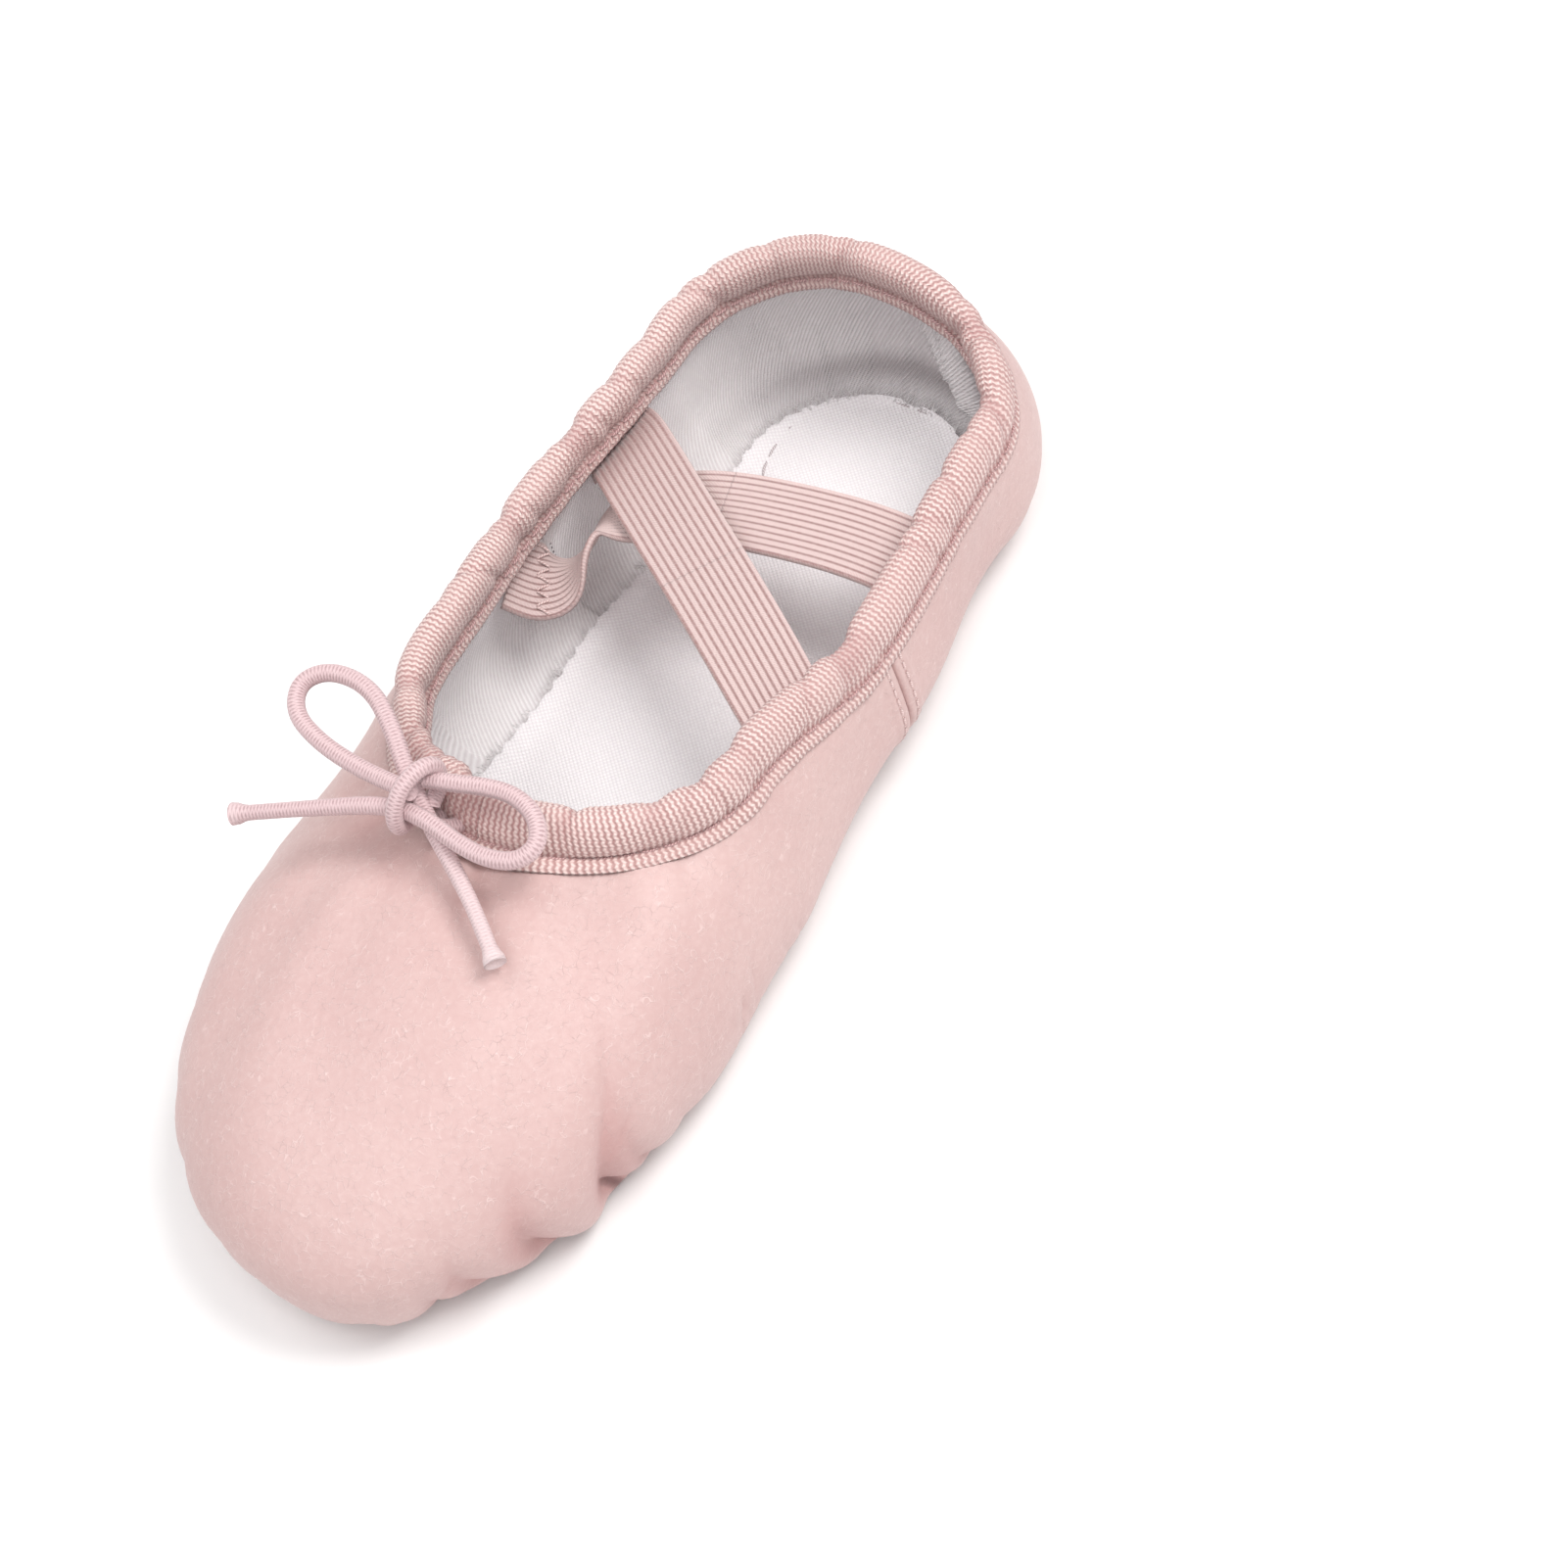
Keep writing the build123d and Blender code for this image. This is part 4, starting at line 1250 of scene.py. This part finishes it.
def binding_relief(columns, count, visible):
    """Ribs across the tape, and the puckers that the drawstring gathers it into."""
    run = runs(columns, RIM_RUN)
    row = np.arange(count)[None, :]
    across = row - 13
    shown = (row < visible) * 1.0
    rib = 0.06 * np.cos(CIRCLE * run / RIB_PITCH) * shown
    roll = np.clip((row - 3) / (visible - 8), 0, 1)
    body = np.sin(roll * math.pi) ** 0.5
    dent = np.zeros((len(run), count))
    for where, depth, width, slant in PUCKERS:
        gap = run - where - slant * across
        dent += depth * np.exp(-np.abs(gap) ** 1.5 / width ** 1.5)
    knot = np.mod(run - KNOT_RUN + run[-1, 0] / 2, run[-1, 0]) - run[-1, 0] / 2
    for shift in KNOT_PUCKERS:
        gap = knot - shift - 0.04 * shift * across
        dent += 1.1 * np.exp(-np.abs(gap) ** 1.5 / 1.2)
    dent = np.tanh(dent)
    swell = 0.25 + 0.75 * bell(knot, 6.5)
    return rib + shown * (swell - dent) * (0.25 + 0.75 * body), run, dent * body * shown


def binding_piece(material):
    ribs = round(RIM_LENGTH / RIB_PITCH)
    count = ribs * 6
    columns = Columns(spaced(0, 6, count + 1, RIM_RUN)[:-1])
    r, z, visible = binding_section(columns)
    rows = r.shape[1]
    dr = np.roll(r, -1, 1) - np.roll(r, 1, 1)
    dz = np.roll(z, -1, 1) - np.roll(z, 1, 1)
    size = np.hypot(dr, dz)
    relief, run, dent = binding_relief(columns, rows, visible)
    r = r + dz / size * relief
    z = z - dr / size * relief
    step = np.hypot(np.diff(r), np.diff(z))
    width = np.concatenate([np.zeros((count, 1)), np.cumsum(step, 1)], 1)
    weave = np.stack(np.broadcast_arrays(run * (ribs * RIB_PITCH / RIM_LENGTH), width, 0.0), -1)
    # painted shade: darker in the puckers and along the grooves under the roll
    fold = 0.35 * smooth((dent - 0.25) / 0.6)
    fold[:, OUTER_GROOVE] += 0.55
    fold[:, visible + INNER_GROOVE] += 0.5
    obj = make("binding_tape", columns.place(r, z), quads(count, rows, True, True), weave,
               valley=np.clip(fold, 0, 0.8))
    bend(dress(obj, material, "binding_tape", "topline_binding"))


def binding_stitches():
    """A row in the groove under the roll, outside and inside."""
    count = round(RIM_LENGTH / BINDING_PITCH)
    stitch = np.linspace(0.12, 0.86, 5)
    places = RIM_LENGTH * (np.arange(count)[:, None] + stitch[None, :]) / count
    columns = Columns(np.interp(places.ravel(), RIM_RUN, TABLE_U))
    r, z, visible = binding_section(columns)
    raised = np.tile(0.12 + np.array([0.0, 0.14, 0.2, 0.14, 0.0]), count)
    lines = []
    for row, way in ((OUTER_GROOVE, 1), (visible + INNER_GROOVE, -1)):
        lines += list(columns.place(r[:, row] + way * raised, z[:, row]).reshape(count, 5, 3))
    bend(thread("binding_thread", lines, 0.23, 7, THREAD_DARK, "binding_stitch"))


def drawstring(material):
    columns = Columns(spaced(0, 6, 241, RIM_RUN)[:-1])
    below = 0.8
    path = columns.place(columns.rim - below * np.sin(columns.lean),
                         columns.rim_z - below * np.cos(columns.lean))
    obj = make("drawstring_in_casing", *tube(path, 0.8 * CORD_R, 10, closed=True))
    bend(dress(obj, material, "elastic_cord", "casing_drawstring"))


# ---- straps ----
# centre lines from the heel's end to the toe's end, and the way across the strap at each point:
# the upper one is taut, the lower one slack, with a turned, hanging bight beside the right wall
UPPER_STRAP = [
    (-45.4, -28.6, 19.5), (-45.2, -27.3, 22.4), (-44.0, -25.0, 24.6), (-40.6, -20.4, 26.6),
    (-36.0, -14.0, 28.2), (-30.0, -5.2, 29.2), (-23.4, 4.8, 29.4), (-16.8, 14.6, 28.8),
    (-11.6, 22.2, 27.2), (-9.0, 26.4, 24.6), (-8.2, 28.4, 20.0),
]
UPPER_ACROSS = [(1.0, 0.0, 0.0)] * 11
LOWER_STRAP = [
    (-43.2, 28.4, 19.5), (-43.0, 27.0, 22.4), (-42.7, 24.4, 24.6), (-41.9, 16.0, 26.4),
    (-40.6, 6.0, 26.6), (-39.0, -4.0, 26.2), (-36.8, -11.0, 25.7), (-33.8, -17.0, 24.6),
    (-30.6, -20.8, 23.4), (-27.4, -21.4, 22.2), (-24.4, -21.6, 20.2), (-21.6, -23.2, 19.6),
    (-19.9, -25.4, 20.2), (-18.9, -27.4, 21.4), (-18.4, -29.0, 22.6),
]
LOWER_ACROSS = [(1.0, 0.0, 0.0)] * 6 + [
    (1.0, 0.05, 0.03), (0.97, 0.12, 0.12), (0.76, 0.28, 0.50), (0.52, 0.42, 0.74),
    (0.62, 0.52, 0.58), (0.80, 0.55, 0.15), (0.86, 0.50, -0.09), (0.86, 0.50, -0.09),
    (0.86, 0.50, -0.09),
]
STRAP_RIBS = 12
STRAP_STEPS = 130
TACK_FROM_END = 4.6
TACK_PITCH = 1.35


def strap_piece(name, node, route, ways, material):
    """Flat ribbed elastic, in two halves that meet near the crossing. Returns its end stitches."""
    line = spline_points(route)
    turned = spline_points(ways)
    run = run_along(line)
    nw = STRAP_RIBS * 7 + 1
    across = np.linspace(-STRAP_WIDTH / 2, STRAP_WIDTH / 2, nw)
    thick = 0.22 + 0.32 * np.abs(np.cos(across / STRAP_RIB * math.pi)) ** 0.7
    thick[0] = thick[-1] = 0.12
    tacks = []

    def at(steps, table):
        return np.stack([np.interp(steps, run, table[:, k]) for k in range(3)], -1)

    for part, end in (("back", 0.0), ("front", run[-1])):
        steps = np.linspace(run[-1] / 2, end, STRAP_STEPS)
        centre = at(steps, line)
        tangent = at(steps + 1.2, line) - at(steps - 1.2, line)
        tangent /= np.linalg.norm(tangent, axis=1, keepdims=True)
        wide = at(steps, turned)
        wide -= tangent * (tangent * wide).sum(1, keepdims=True)
        wide /= np.linalg.norm(wide, axis=1, keepdims=True)
        up = np.cross(wide, tangent)
        middle = centre[:, None] + wide[:, None] * across[None, :, None]
        raised = up[:, None] * thick[None, :, None]
        ring = np.concatenate([middle + raised, (middle - raised)[:, ::-1]], 1)
        weave = np.stack(np.broadcast_arrays(steps[:, None], across[None, :], 0.0), -1)
        faces = quads(STRAP_STEPS, 2 * nw, False, True).tolist()
        for i in (0, STRAP_STEPS - 1):
            for j in range(nw - 1):
                k = i * 2 * nw
                cell = [k + j, k + j + 1, k + 2 * nw - 2 - j, k + 2 * nw - 1 - j]
                faces.append(cell if i == 0 else cell[::-1])
        obj = make(f"{name}_{part}", ring, faces, np.concatenate([weave, weave[:, ::-1]], 1))
        dress(obj, material, "elastic_strap", node)
        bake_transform(obj)
        sewn = int(np.argmin(np.abs(steps - abs(end - TACK_FROM_END))))
        face = up[sewn] * (1 if up[sewn][2] > 0 else -1)
        rise = face * np.array([0, 0.14, 0.2, 0.14, 0])[:, None]
        for k in range(-4, 5):
            spot = centre[sewn] + wide[sewn] * TACK_PITCH * k + face * 0.55
            lean = tangent[sewn] * (0.9 if k % 2 else -0.9) + wide[sewn] * 0.5
            tacks.append(spot + lean * np.linspace(-1, 1, 5)[:, None] + rise)
    return tacks


# ---- the whole slipper ----
camera()
cord_cover = cord_paint()
THREAD_PINK = thread_paint("pink_thread", (0.55, 0.34, 0.335), (0.90, 0.74, 0.71))
THREAD_SOLE = thread_paint("sole_thread", (0.78, 0.58, 0.57), (0.97, 0.86, 0.84))
THREAD_DARK = thread_paint("binding_thread", (0.36, 0.20, 0.205), (0.66, 0.44, 0.43))
THREAD_PALE = thread_paint("pale_thread", (0.46, 0.40, 0.41), (0.76, 0.70, 0.71))
# dark grey: painted shade for the needle holes inside the shoe
THREAD_SHADE = thread_paint("needle_hole_shade", (0.16, 0.13, 0.14), (0.40, 0.35, 0.36))
THREAD_WHITE = thread_paint("white_yarn", (0.74, 0.70, 0.71), (0.92, 0.90, 0.90))

knot = knot_piece(cord_cover)
strand("bow_strand_left", "bow_cord_left", LEFT_STRAND, 0.55, cord_cover)
strand("bow_strand_right", "bow_cord_right", RIGHT_STRAND, 0.0, cord_cover)
cord_stub(cord_cover)

leather = leather_paint()
leather_piece("vamp_leather", "vamp", -SEAM_U, SEAM_U, 601, leather)
leather_piece("heel_quarter_leather", "heel_quarter", SEAM_U + 0.002, 6 - SEAM_U - 0.002, 331,
              leather)
twill = twill_paint()
lining_piece("vamp_lining_cloth", "vamp_lining", -SEAM_U, SEAM_U, 361, twill)
lining_piece("quarter_lining_cloth", "quarter_lining", SEAM_U, 6 - SEAM_U, 241, twill)
insole_piece(canvas_paint())
felt = felt_paint()
suede = suede_paint()
for where in STITCH_ROWS:
    pad_piece(where, felt)
for where in STITCH_ROWS:
    patch_piece(where, suede)
for where in STITCH_ROWS:
    patch_stitches(where)
for sign, side in ((1, "left"), (-1, "right")):
    side_seam(sign, side)
for sign, side in ((1, "left"), (-1, "right")):
    arch_seam(sign, side)
binding_piece(tape_paint())
binding_stitches()
drawstring(cord_cover)
elastic = elastic_paint()
tack_lines = strap_piece("upper_elastic", "cross_strap_upper", UPPER_STRAP, UPPER_ACROSS,
                         elastic)
tack_lines += strap_piece("lower_elastic", "cross_strap_lower", LOWER_STRAP, LOWER_ACROSS,
                          elastic)
# a zigzag of thread across each strap's end, where it is sewn to the wall
bend(thread("strap_tack_thread", tack_lines, 0.2, 7, THREAD_PINK, "strap_tacks"))


# ---- floor and light ----
def stage():
    floor_mesh = bpy.data.meshes.new("floor")
    half = 3.0
    corners = [(-half, -half, 0), (half, -half, 0), (half, half, 0), (-half, half, 0)]
    floor_mesh.from_pydata(corners, [], [(0, 1, 2, 3)])
    floor_mesh.materials.append(floor_paint())
    floor = add("floor", floor_mesh)
    floor.location.z = -0.0001


def lamp(name, spot, aim, size, power, tint=(1.0, 1.0, 1.0)):
    data = bpy.data.lights.new(name, "AREA")
    data.shape = "DISK"
    data.size = size
    data.energy = power
    data.color = tint
    obj = add(name, data)
    obj.location = spot
    obj.rotation_euler = (Vector(aim) - Vector(spot)).to_track_quat("-Z", "Y").to_euler()


def light():
    world = bpy.data.worlds.new("studio")
    world.use_nodes = True
    world.node_tree.nodes["Background"].inputs["Color"].default_value = (1.0, 1.0, 1.0, 1.0)
    world.node_tree.nodes["Background"].inputs["Strength"].default_value = 0.62
    bpy.context.scene.world = world
    bpy.context.scene.view_settings.view_transform = "Standard"
    lamp("key", (-0.30, 0.50, 1.1), (0, 0, 0.02), 0.6, 9.3, (1.0, 0.985, 0.97))
    lamp("front_fill", (0.45, 0.35, 1.0), (-0.03, 0, 0.02), 0.7, 3.4)
    lamp("side_fill", (0.20, -0.50, 1.0), (0.0, 0, 0.02), 0.7, 3.2)


stage()
light()
